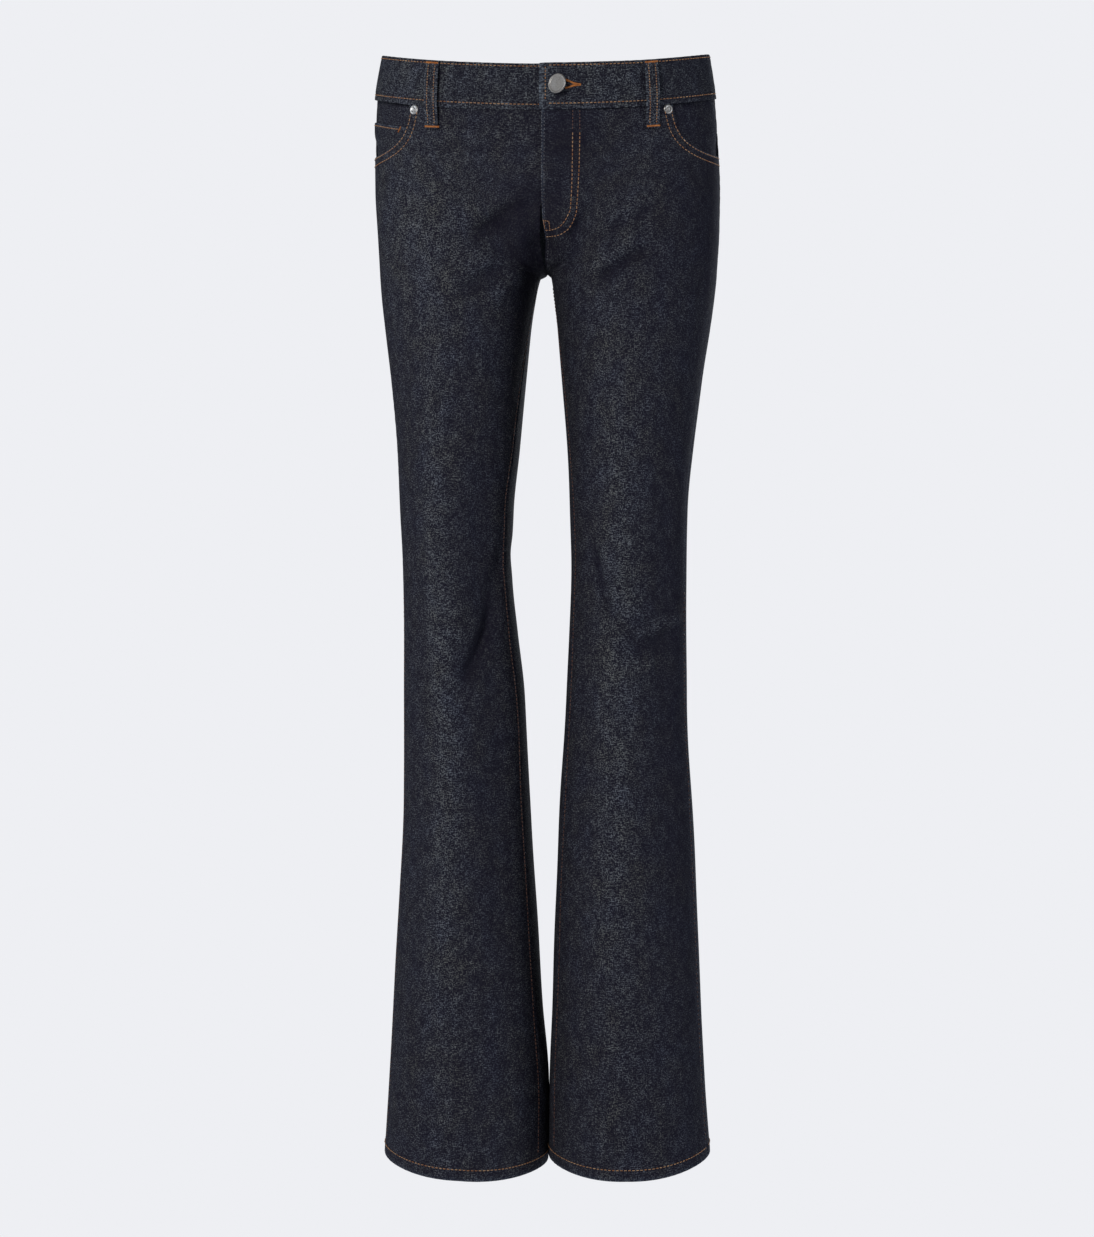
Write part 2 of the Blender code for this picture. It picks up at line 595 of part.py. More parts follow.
def button_tack(name):
    """The tack's head on the inner side of the lower layer."""
    place = np.array([[(BUTTON["from_centre"], BUTTON["drop"])]])
    face = BAND["proud"] - BAND["lap_lift"] - BAND["thickness"] - SEAM_GAP
    seat = spots(LEFT, "front", place, face)[0, 0]
    outer = spots(LEFT, "front", place, face + 0.001)[0, 0]
    profile = [(0, 0), (0.0045, 0), (0.0045, 0.0008), (0.0030, 0.0014), (0, 0.0016)]
    return turned(name, profile, seat, seat - outer, 20, metal())


def rivet(name, side):
    run = POCKET["mouth"] + RIVET["inside_mouth"]
    z = BAND_BOTTOM - RIVET["drop"]
    share = across_at(side, "front", z, from_side=run)
    seat = fabric(side, "front", share, z, SEAM_GAP)
    inside = fabric(side, "front", share, z, 0)
    r, h, nub = RIVET["radius"], RIVET["height"], RIVET["nub"]
    profile = [
        (0, 0), (r, 0), (r, 0.0004), (0.85 * r, h), (0.55 * r, 0.75 * h), (nub, 0.7 * h), (nub * 0.9, 1.4 * h),
        (0, 1.6 * h),
    ]
    return turned(name, profile, seat, seat - inside, 20, metal())


def build():
    for old in list(bpy.data.objects):
        bpy.data.objects.remove(old)
    for side, who in ((RIGHT, "right"), (LEFT, "left")):
        front_panel(f"front_{who}", side)
        back_panel(f"back_{who}", side)
        yoke(f"yoke_{who}", side)
        pocket_facing(f"pocket_facing_{who}", side)
        back_pocket(f"back_pocket_{who}", side)
        belt_loop(f"belt_loop_front_{who}", side, "front", LOOP_FROM_CENTRE["front"])
        belt_loop(f"belt_loop_back_{who}", side, "back", LOOP_FROM_CENTRE["back"])
        rivet(f"rivet_{who}", side)
    belt_loop("belt_loop_centre", LEFT, "back", 0.0)
    coin_pocket("coin_pocket")
    waistband("waistband")
    inner_strip("zip", ZIP, 4, 8, material("zip_tape", INDIGO, 0.8))
    inner_strip("fly_shield", SHIELD, 5, 8, denim())
    button("button")
    button_tack("button_tack")


build()
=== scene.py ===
import math

import bmesh
import bpy
import numpy as np
from mathutils import Matrix, Vector


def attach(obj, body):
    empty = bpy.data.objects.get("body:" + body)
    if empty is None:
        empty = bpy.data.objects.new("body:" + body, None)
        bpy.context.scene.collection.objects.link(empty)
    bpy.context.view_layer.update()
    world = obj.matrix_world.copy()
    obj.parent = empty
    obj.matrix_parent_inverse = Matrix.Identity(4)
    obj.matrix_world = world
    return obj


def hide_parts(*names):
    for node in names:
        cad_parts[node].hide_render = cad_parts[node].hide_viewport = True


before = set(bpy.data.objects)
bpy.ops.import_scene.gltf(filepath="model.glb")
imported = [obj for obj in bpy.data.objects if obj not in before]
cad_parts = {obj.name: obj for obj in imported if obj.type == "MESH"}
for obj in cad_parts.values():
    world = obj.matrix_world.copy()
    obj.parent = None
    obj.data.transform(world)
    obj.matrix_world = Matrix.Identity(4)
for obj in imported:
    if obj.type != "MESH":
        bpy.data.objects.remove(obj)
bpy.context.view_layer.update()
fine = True
rightSide, leftSide = -1, 1
print("frame loaded")

sections = [  # height, then the columns that columnOf names, in metres and degrees
    (0.0204, -0.1590, 0.0000, 0.0000, 0.1562, 1.00, -0.0950, 0.092, 0.0, 0.0),
    (-0.0206, -0.1655, 0.0000, 0.0000, 0.1622, 1.00, -0.0990, 0.100, 0.0, 0.0),
    (-0.0600, -0.1670, 0.0000, 0.0000, 0.1652, 1.00, -0.1030, 0.112, 0.0, 0.0),
    (-0.1100, -0.1667, 0.0000, 0.0000, 0.1676, 1.00, -0.1050, 0.121, 0.0, 0.5),
    (-0.1500, -0.1647, -0.0035, 0.0020, 0.1670, 1.00, -0.1030, 0.122, 0.0, 1.2),
    (-0.1900, -0.1623, -0.0085, 0.0050, 0.1646, 1.00, -0.1010, 0.113, 1.0, 2.2),
    (-0.1935, -0.1621, -0.0090, 0.0053, 0.1644, 0.30, -0.1007, 0.112, 1.4, 2.3),
    (-0.2150, -0.1603, -0.0118, 0.0075, 0.1622, 0.07, -0.0990, 0.106, 4.0, 3.2),
    (-0.2450, -0.1566, -0.0152, 0.0107, 0.1582, 0.00, -0.0965, 0.098, 8.0, 4.8),
    (-0.3000, -0.1500, -0.0206, 0.0158, 0.1494, 0.00, -0.0920, 0.087, 15.0, 8.0),
    (-0.3600, -0.1446, -0.0260, 0.0198, 0.1416, 0.00, -0.0860, 0.077, 21.0, 11.5),
    (-0.4200, -0.1418, -0.0323, 0.0226, 0.1366, 0.00, -0.0810, 0.069, 24.0, 14.0),
    (-0.4700, -0.1392, -0.0335, 0.0240, 0.1355, 0.00, -0.0770, 0.064, 24.0, 15.0),
    (-0.5400, -0.1381, -0.0284, 0.0219, 0.1353, 0.00, -0.0740, 0.061, 24.0, 15.0),
    (-0.6000, -0.1382, -0.0217, 0.0187, 0.1357, 0.00, -0.0720, 0.063, 24.0, 15.0),
    (-0.7000, -0.1390, -0.0166, 0.0132, 0.1405, 0.00, -0.0710, 0.071, 24.0, 15.0),
    (-0.8000, -0.1442, -0.0106, 0.0084, 0.1451, 0.00, -0.0730, 0.080, 24.0, 15.0),
    (-0.9000, -0.1499, -0.0038, 0.0052, 0.1492, 0.00, -0.0770, 0.086, 24.0, 15.0),
    (-0.9800, -0.1541, 0.0017, 0.0021, 0.1532, 0.00, -0.0800, 0.090, 24.0, 15.0),
    (-1.0440, -0.1580, 0.0009, 0.0013, 0.1580, 0.00, -0.0830, 0.092, 24.0, 15.0),
]
columnOf = {"rightOut": 1, "rightIn": 2, "leftIn": 3, "leftOut": 4, "pinch": 5, "front": 6, "back": 7,
            "inseamTurn": 8, "sideTurn": 9}
form = {
    "bandTop": 0.0216, "bandBottom": -0.0206, "crotch": -0.1900, "hem": -1.0440,
    "pinchPower": 6, "torsoSquareness": 2.2, "legSquareness": 2.1,
    "forkStart": {"front": -0.128, "back": -0.090}, "forkSquareness": {"front": 2.6, "back": 2.0},
    "forkReach": 0.50, "legsFrom": 0.000, "legsBy": -0.270,
    "waistSlope": 0.1856, "waistSag": 1.06, "waistLean": -0.009, "waistLevelBy": -0.150,
    "hemCurveFrom": -0.850, "hemLift": {rightSide: 0.0, leftSide: 0.0035},
    "hemDip": {rightSide: {"front": 0.0100, "back": 0.0060, "inner": 0.0062, "outer": -0.0022},
               leftSide: {"front": 0.0122, "back": 0.0060, "inner": 0.0030, "outer": 0.0}},
    "cloth": 0.0012, "seamGap": 0.0003, "panelWidth": 0.205, "hemFold": 0.0110,
}


def throughRows(column, z):  # a smooth line through the sections that never overshoots a row
    rows = np.array(sections)[::-1]
    heights, values = rows[:, 0], rows[:, columnOf[column]]
    step = np.diff(heights)
    slope = np.diff(values) / step
    oneWay = slope[:-1] * slope[1:] > 0
    below, above = np.where(oneWay, slope[:-1], 1.0), np.where(oneWay, slope[1:], 1.0)
    weightA, weightB = 2 * step[1:] + step[:-1], step[1:] + 2 * step[:-1]
    tangent = np.zeros(len(values))
    tangent[0], tangent[-1] = slope[0], slope[-1]
    tangent[1:-1] = np.where(oneWay, (weightA + weightB) / (weightA / below + weightB / above), 0)
    k = np.clip(np.searchsorted(heights, z) - 1, 0, len(step) - 1)
    t = (z - heights[k]) / step[k]
    start = (1 + 2 * t) * (1 - t) ** 2 * values[k] + t * (1 - t) ** 2 * step[k] * tangent[k]
    return start + t * t * (3 - 2 * t) * values[k + 1] + t * t * (t - 1) * step[k] * tangent[k + 1]


def smooth(t):
    t = np.clip(t, 0, 1)
    return t * t * (3 - 2 * t)


def signedPower(value, power):
    return np.sign(value) * np.abs(value) ** power


def patternPoint(side, half, across, z):  # across is 0 at the centre seam or inseam, 1 at the side seam
    across, z = np.broadcast_arrays(np.asarray(across, float), np.asarray(z, float))
    who = "left" if side == leftSide else "right"
    outer, inner = throughRows(who + "Out", z), throughRows(who + "In", z)
    front, back = throughRows("front", z), throughRows("back", z)
    angle = across * math.pi / 2
    power = 2 / form["torsoSquareness"]
    torsoX = outer * signedPower(np.sin(angle), power)
    torsoY = (front if half == "front" else back) * signedPower(np.cos(angle), power)
    inseam, sideSeam = np.radians(throughRows("inseamTurn", z)), np.radians(throughRows("sideTurn", z))
    if half == "front":
        turn = inseam + across * (math.pi - sideSeam - inseam)
    else:
        turn = inseam - across * (math.pi + sideSeam + inseam)
    power = 2 / form["legSquareness"]
    middleX, middleY = (outer + inner) / 2, (front + back) / 2
    halfWidth, halfDepth = np.abs(outer - inner) / 2, (back - front) / 2
    legX = middleX - side * halfWidth * signedPower(np.cos(turn), power)
    legX = legX - inner * throughRows("pinch", z) * np.clip(np.cos(turn), 0, 1) ** form["pinchPower"]
    legY = middleY - halfDepth * signedPower(np.sin(turn), power)
    start, squareness = form["forkStart"][half], form["forkSquareness"][half]
    way = np.clip((start - z) / (start - form["crotch"]), 0, 1)
    atSeam = 1 - (1 - way**squareness) ** (1 / squareness)
    nearSeam = (1 - smooth(np.abs(across) / form["forkReach"])) ** 2
    legs = smooth((form["legsFrom"] - z) / (form["legsFrom"] - form["legsBy"]))
    legShare = atSeam * nearSeam + legs * (1 - nearSeam)
    x = torsoX * (1 - legShare) + legX * legShare
    y = torsoY * (1 - legShare) + legY * legShare
    level = smooth((z - form["waistLevelBy"]) / (form["bandBottom"] - form["waistLevelBy"]))
    waist = (form["waistSlope"] * y - form["waistSag"] * y * y + form["waistLean"] * x) * level
    forward = (legY - middleY) / halfDepth
    inward = np.clip((middleX - legX) * side / halfWidth, -1, 1)
    hemDip = form["hemDip"][side]
    dip = np.where(forward < 0, hemDip["front"], hemDip["back"]) * forward**2
    dip = dip + np.where(inward > 0, hemDip["inner"] * inward, -hemDip["outer"] * inward)
    hem = smooth((form["hemCurveFrom"] - z) / (form["hemCurveFrom"] - form["hem"])) * (form["hemLift"][side] - dip)
    return np.stack([x, y, z + waist + hem], -1)


def outward(side, half, across, z):
    before, after = (patternPoint(side, half, across + step, z) for step in (-0.012, 0.012))
    below, above = (patternPoint(side, half, across, z + step) for step in (-0.0015, 0.0015))
    normal = np.cross(after - before, above - below) * side * (1 if half == "front" else -1)
    return normal / np.linalg.norm(normal, axis=-1, keepdims=True)


creases = {  # share across and height at each end, reach either side, depth: a trough's is below zero
    (rightSide, "front"): [
        (0.56, -0.200, 0.56, -1.000, 0.042, 0.0034), (0.26, -0.230, 0.24, -0.980, 0.050, -0.0034),
        (0.01, -0.117, 0.45, -0.159, 0.028, 0.0036), (0.00, -0.133, 0.43, -0.173, 0.015, -0.0044),
        (0.23, -0.189, 0.49, -0.228, 0.016, -0.0038), (0.24, -0.178, 0.53, -0.217, 0.022, 0.0022),
        (0.13, -0.187, 0.36, -0.239, 0.018, 0.0022), (0.46, -0.048, 0.01, -0.044, 0.016, 0.0015),
        (0.46, -0.064, 0.04, -0.064, 0.014, -0.0012), (0.51, -0.600, 0.06, -0.502, 0.017, -0.0066),
        (0.27, -0.538, -0.02, -0.446, 0.024, -0.0022), (0.56, -0.579, 0.40, -0.487, 0.036, 0.0046),
        (0.56, -0.508, 0.34, -0.496, 0.016, -0.0010), (0.75, -0.593, 0.51, -0.608, 0.016, 0.0012),
    ],
    (leftSide, "front"): [
        (0.39, -0.190, 0.43, -0.980, 0.042, 0.0034), (0.72, -0.230, 0.72, -0.980, 0.044, -0.0024),
        (0.27, -0.207, 0.53, -0.160, 0.016, 0.0032), (0.30, -0.216, 0.56, -0.173, 0.014, -0.0042),
        (0.23, -0.166, 0.53, -0.123, 0.013, 0.0020), (0.28, -0.176, 0.57, -0.134, 0.013, -0.0018),
        (0.23, -0.103, 0.51, -0.039, 0.009, 0.0010), (0.21, -0.160, 0.32, -0.123, 0.013, 0.0018),
        (0.10, -0.173, 0.17, -0.146, 0.011, -0.0026), (0.06, -0.191, 0.24, -0.188, 0.011, -0.0007),
        (0.21, -0.451, 0.39, -0.526, 0.013, -0.0030), (0.28, -0.502, 0.65, -0.574, 0.015, -0.0036),
        (0.28, -0.462, 0.62, -0.540, 0.016, 0.0034), (0.52, -0.540, 0.97, -0.521, 0.011, 0.0022),
        (0.55, -0.553, 0.90, -0.539, 0.014, -0.0022), (0.45, -0.579, 0.70, -0.566, 0.020, 0.0024),
        (0.31, -0.602, 0.43, -0.658, 0.016, 0.0010),
    ],
    (rightSide, "back"): [
        (0.05, -0.455, 0.75, -0.500, 0.024, -0.0036), (0.20, -0.560, 0.90, -0.535, 0.022, -0.0030),
        (0.30, -0.520, 0.85, -0.515, 0.016, 0.0022), (0.03, -0.200, 0.55, -0.180, 0.016, -0.0024),
        (0.06, -0.228, 0.66, -0.214, 0.018, -0.0020), (0.10, -0.214, 0.58, -0.196, 0.012, 0.0016),
        (0.42, -0.280, 0.40, -0.960, 0.050, 0.0030),
    ],
    (leftSide, "back"): [
        (0.08, -0.470, 0.80, -0.490, 0.024, -0.0036), (0.15, -0.575, 0.85, -0.545, 0.022, -0.0030),
        (0.25, -0.530, 0.78, -0.512, 0.016, 0.0022), (0.03, -0.206, 0.50, -0.186, 0.016, -0.0024),
        (0.08, -0.236, 0.62, -0.224, 0.018, -0.0020), (0.12, -0.220, 0.56, -0.204, 0.012, 0.0016),
        (0.40, -0.280, 0.42, -0.960, 0.050, 0.0030),
    ],
}
crotchHollow = {"from": -0.100, "full": -0.142, "to": -0.190, "depth": 0.0125,
                "reach": {rightSide: 0.0165, leftSide: 0.0125}}
fadesAndPaintedLight = {  # more or fewer pale flecks, partly real fading and partly painted light: painted highlight on the lit bands down the legs and on the hips, painted shade beside the fly, by the crotch, and on the hip and outer leg turned from the light: share across, height, reach across and up, amount
    (rightSide, "front"): [(0.56, -0.60, 0.018, 0.42, 0.55), (0.60, -0.15, 0.060, 0.090, 0.50),
        (0.30, -0.075, 0.060, 0.040, 0.20), (0.08, -0.180, 0.030, 0.070, -0.45)],
    (leftSide, "front"): [(0.41, -0.56, 0.024, 0.40, 0.50), (0.07, -0.055, 0.022, 0.045, -0.40),
        (0.80, -0.120, 0.050, 0.100, -0.25), (0.90, -0.60, 0.034, 0.55, -0.30)],
    (rightSide, "back"): [(0.50, -0.10, 0.060, 0.080, 0.40), (0.42, -0.60, 0.024, 0.40, 0.35)],
    (leftSide, "back"): [(0.50, -0.10, 0.060, 0.080, 0.40), (0.42, -0.60, 0.024, 0.40, 0.35)],
}
plainFlecks = 0.55


def creaseLift(side, half, across, z, narrowness=False):  # narrowness counts narrow creases for more, for the painted shade in the troughs and painted highlight on the ridges that the flecks carry
    lift = np.zeros(np.broadcast(across, z).shape)
    for acrossA, zA, acrossB, zB, reach, depth in creases[side, half]:
        along = np.array([(acrossB - acrossA) * form["panelWidth"], zB - zA])
        length = np.hypot(*along)
        fromA = np.stack(np.broadcast_arrays((across - acrossA) * form["panelWidth"], z - zA), -1)
        t = fromA @ along / length**2
        off = np.abs(fromA @ np.array([-along[1], along[0]]) / length)
        depth = depth * 0.015 / reach if narrowness else creaseGain(reach) * depth
        lift = lift + depth * smooth(t / 0.30) * smooth((1 - t) / 0.30) * np.exp(-((off / (0.5 * reach)) ** 2))
    width = form["panelWidth"]
    seams = smooth(np.abs(across) * width / 0.010) * smooth((1 - across) * width / 0.016)
    lift = lift * seams * smooth((form["bandBottom"] - z) / 0.02)
    if half == "front":
        hollow = crotchHollow
        depth = smooth((hollow["from"] - z) / (hollow["from"] - hollow["full"])) * smooth((z - hollow["to"]) / 0.012)
        reach = np.where(np.asarray(across) >= 0, hollow["reach"][side], hollow["reach"][-side])
        # with narrowness, the hollow beside the fly takes away pale flecks: painted shade
        deep = 0.35 * hollow["depth"] if narrowness else hollow["depth"]
        lift = lift - deep * depth * np.exp(-((across * width / reach) ** 2))
    return lift


def creaseGain(reach):
    return 1.45 if reach < 0.03 else 1.15


def fleckShare(side, half, across, z):
    amount = np.full(np.broadcast(across, z).shape, plainFlecks)
    for share, height, reachAcross, reachUp, more in fadesAndPaintedLight[side, half]:
        away = ((across - share) * form["panelWidth"] / reachAcross) ** 2 + ((z - height) / reachUp) ** 2
        amount = amount + more * np.exp(-away)
    # fewer pale flecks in the crease troughs and more on the ridges: painted shade and painted highlight
    paintedFoldLight = 1000 * creaseLift(side, half, across, z, narrowness=True)
    return np.clip(amount + 0.12 * paintedFoldLight, 0.18, 1.3)


def ripple(s, pitch, seed):  # an uneven row of small waves
    drift = 0.9 * np.sin(s / pitch * 1.7 + seed) + 0.7 * np.sin(s / pitch * 0.61 + 2.1 * seed)
    size = 0.65 + 0.35 * np.sin(s / pitch * 0.83 + 1.3 * seed)
    return size * np.sin(2 * math.pi * s / pitch + drift)


pucker = {"side": 0.00013, "inseam": 0.00013, "waist": 0.00018, "hem": 0.00030, "reach": 0.006, "slack": 0.0005}


def seamLift(side, half, across, z):  # puckers beside the seams, and slack along the leg
    width = widthAt(side, half, z)
    seed = 1.7 * side + (0.6 if half == "front" else 2.2)
    fromSeam, fromSide = np.abs(across) * width, (1 - across) * width
    reach = pucker["reach"]
    lift = pucker["side"] * np.exp(-((fromSide / reach) ** 2)) * ripple(z, 0.0125, seed)
    below = smooth((form["crotch"] - z) / 0.02)
    lift = lift + pucker["inseam"] * below * np.exp(-((fromSeam / reach) ** 2)) * ripple(z, 0.0135, seed + 1)
    run = across * width
    drop = form["bandBottom"] - z
    lift = lift + pucker["waist"] * np.exp(-((drop / 0.008) ** 2)) * ripple(run, 0.010, seed + 2)
    up = z - form["hem"]
    apart = 1.0 if half == "front" else smooth((run - 0.045) / 0.02)  # the legs touch on the inner backs
    hem = pucker["hem"] * np.exp(-((up - 0.006) / 0.0075) ** 2) * ripple(run + 0.9 * up, 0.0095, seed + 3)
    lift = lift + apart * hem
    slack = np.sin(z * 21 + 5 * across + seed) * np.sin(z * 9.3 - 3 * across + 2 * seed)
    slack = slack + 0.5 * np.sin(z * 47 + 9 * across + 3 * seed) * np.sin(across * 7 + seed)
    calm = smooth(drop / 0.08) * smooth(fromSide / 0.02) * smooth((z + 1.0) / 0.1)
    return lift + pucker["slack"] * slack * calm


def cloth(side, half, across, z, out=0.0):  # points of the creased cloth, moved out of the garment
    lift = creaseLift(side, half, across, z) + seamLift(side, half, across, z) + out
    return patternPoint(side, half, across, z) + outward(side, half, across, z) * np.asarray(lift)[..., None]


widthTable = {}


def widthAt(side, half, z):  # the panel's width at a height, along the cloth
    if (side, half) not in widthTable:
        heights = np.linspace(form["hem"] - 0.01, form["bandTop"] + 0.01, 140)
        row = patternPoint(side, half, np.linspace(0, 1, 33)[None, :], heights[:, None])
        widthTable[side, half] = heights, np.linalg.norm(np.diff(row, axis=1), axis=2).sum(1)
    return np.interp(z, *widthTable[side, half])


def shareAt(side, half, z, run, reference="centre"):  # across, at a distance along the cloth from a seam
    z, run = np.broadcast_arrays(np.asarray(z, float), np.asarray(run, float))
    shares = np.linspace(0, 1, 49)
    row = patternPoint(side, half, shares[None, :], z.reshape(-1)[:, None])
    runs = np.concatenate([np.zeros((len(row), 1)), np.cumsum(np.linalg.norm(np.diff(row, axis=1), axis=2), 1)], 1)
    wanted = run.reshape(-1) if reference == "centre" else runs[:, -1] - run.reshape(-1)
    found = [np.interp(w, r, shares) if w >= 0 else w / r[1] * shares[1] for w, r in zip(wanted, runs)]
    return np.array(found).reshape(z.shape)


def insideSeams(shares, width=form["panelWidth"]):  # drawn in by half a seam's gap and the edge's own roundness
    edge = 0.5 * (form["seamGap"] + form["cloth"]) / width
    return edge + shares * (1 - 2 * edge)


def gridBorder(rows, columns):
    corner = np.arange(rows * columns).reshape(rows, columns)
    return np.concatenate([corner[0], corner[1:, -1], corner[-1, -2::-1], corner[-2:0:-1, 0]])


def clothShell(name, outer, inner, uv, wear, faceFinish, backFinish, flecks=1.0):
    rows, columns = outer.shape[:2]
    count = rows * columns
    flatOuter, flatInner = outer.reshape(-1, 3), inner.reshape(-1, 3)
    rim = gridBorder(rows, columns)
    sideways = np.zeros_like(outer)
    for edge, within in ((0, 1), (-1, -2)):
        for grid, push in ((outer, sideways), (outer.swapaxes(0, 1), sideways.swapaxes(0, 1))):
            away = grid[edge] - grid[within]
            push[edge] += away / np.maximum(np.linalg.norm(away, axis=-1, keepdims=True), 1e-9)
    sideways = sideways.reshape(-1, 3)[rim]
    through = (flatOuter[rim] - flatInner[rim]) / 2
    middle = (flatOuter[rim] + flatInner[rim]) / 2
    radius = np.linalg.norm(through, axis=1, keepdims=True)
    unit = through / radius
    sideways = sideways - (sideways * unit).sum(1, keepdims=True) * unit
    sideways = sideways / np.maximum(np.linalg.norm(sideways, axis=1, keepdims=True), 1e-9) * radius
    rings = [middle + through * math.cos(a) + sideways * math.sin(a) for a in np.radians((40, 90, 140))]  # round edges
    points = np.concatenate([flatOuter, flatInner, *rings])
    corner = np.arange(count).reshape(rows, columns)
    quads = np.stack([corner[1:, :-1], corner[:-1, :-1], corner[:-1, 1:], corner[1:, 1:]], -1).reshape(-1, 4)
    n = len(rim)
    chains = [rim, *(2 * count + k * n + np.arange(n) for k in range(3)), rim + count]
    strips = [np.stack([a, b, np.roll(b, -1), np.roll(a, -1)], -1) for a, b in zip(chains, chains[1:])]
    faces = np.concatenate([quads, quads[:, [0, 3, 2, 1]] + count, *strips])
    mesh = bpy.data.meshes.new(name)
    mesh.from_pydata(points.tolist(), [], faces.tolist())
    mesh.materials.append(faceFinish)
    mesh.materials.append(backFinish)
    slots = np.zeros(len(faces), np.int32)
    slots[len(quads):2 * len(quads)] = 1
    mesh.polygons.foreach_set("material_index", slots)
    pick = np.concatenate([np.arange(count), np.arange(count), rim, rim, rim])
    for key, values in (("wear", wear), ("flecks", flecks)):
        spread = mesh.attributes.new(key, "FLOAT", "POINT")
        spread.data.foreach_set("value", np.broadcast_to(values, (rows, columns)).reshape(-1)[pick].astype(np.float32))
    layer = mesh.uv_layers.new(name="weave")
    corners = np.empty(len(mesh.loops), np.int32)
    mesh.loops.foreach_get("vertex_index", corners)
    layer.data.foreach_set("uv", uv.reshape(-1, 2)[pick][corners].astype(np.float32).ravel())
    turnOutward(mesh)
    mesh.shade_smooth()
    made = bpy.data.objects.new(name, mesh)
    bpy.context.scene.collection.objects.link(made)
    return made


def turnOutward(mesh):
    work = bmesh.new()
    work.from_mesh(mesh)
    bmesh.ops.recalc_face_normals(work, faces=work.faces)
    work.to_mesh(mesh)
    work.free()


def addPiece(made, slot, *nodes):
    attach(made, "root")
    if nodes:
        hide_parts(*nodes)
    return made


def socket(group, name, kind, way, value=None):
    made = group.interface.new_socket(name=name, in_out=way, socket_type=kind)
    if value is not None:
        made.default_value = value
    return made


def node(tree, kind, **settings):
    made = tree.nodes.new(kind)
    for key, value in settings.items():
        setattr(made, key, value)
    return made


def mathNode(tree, operation, a, b=None, clamp=False):
    made = node(tree, "ShaderNodeMath", operation=operation, use_clamp=clamp)
    for k, value in enumerate((a, b)):
        if value is None:
            continue
        if isinstance(value, (int, float)):
            made.inputs[k].default_value = value
        else:
            tree.links.new(value, made.inputs[k])
    return made.outputs[0]


def mixColour(tree, factor, a, b):
    made = node(tree, "ShaderNodeMix", data_type="RGBA")
    for key, value in ((0, factor), (6, a), (7, b)):
        if isinstance(value, (int, float)):
            made.inputs[key].default_value = value
        elif isinstance(value, tuple):
            made.inputs[key].default_value = (*value, 1) if len(value) == 3 else value
        else:
            tree.links.new(value, made.inputs[key])
    return made.outputs[2]


def noiseOn(tree, vector, scale, detail=2.0, roughness=0.5):  # scale is how many there are in a metre each way
    stretch = node(tree, "ShaderNodeVectorMath", operation="MULTIPLY")
    tree.links.new(vector, stretch.inputs[0])
    stretch.inputs[1].default_value = (*scale, 1)
    made = node(tree, "ShaderNodeTexNoise", noise_dimensions="2D")
    made.inputs["Scale"].default_value = 1
    made.inputs["Detail"].default_value = detail
    made.inputs["Roughness"].default_value = roughness
    tree.links.new(stretch.outputs[0], made.inputs["Vector"])
    return made.outputs["Fac"]


def stretchTo(tree, value, low, high):
    made = node(tree, "ShaderNodeMapRange")
    tree.links.new(value, made.inputs["Value"])
    made.inputs["From Min"].default_value, made.inputs["From Max"].default_value = low, high
    return made.outputs[0]


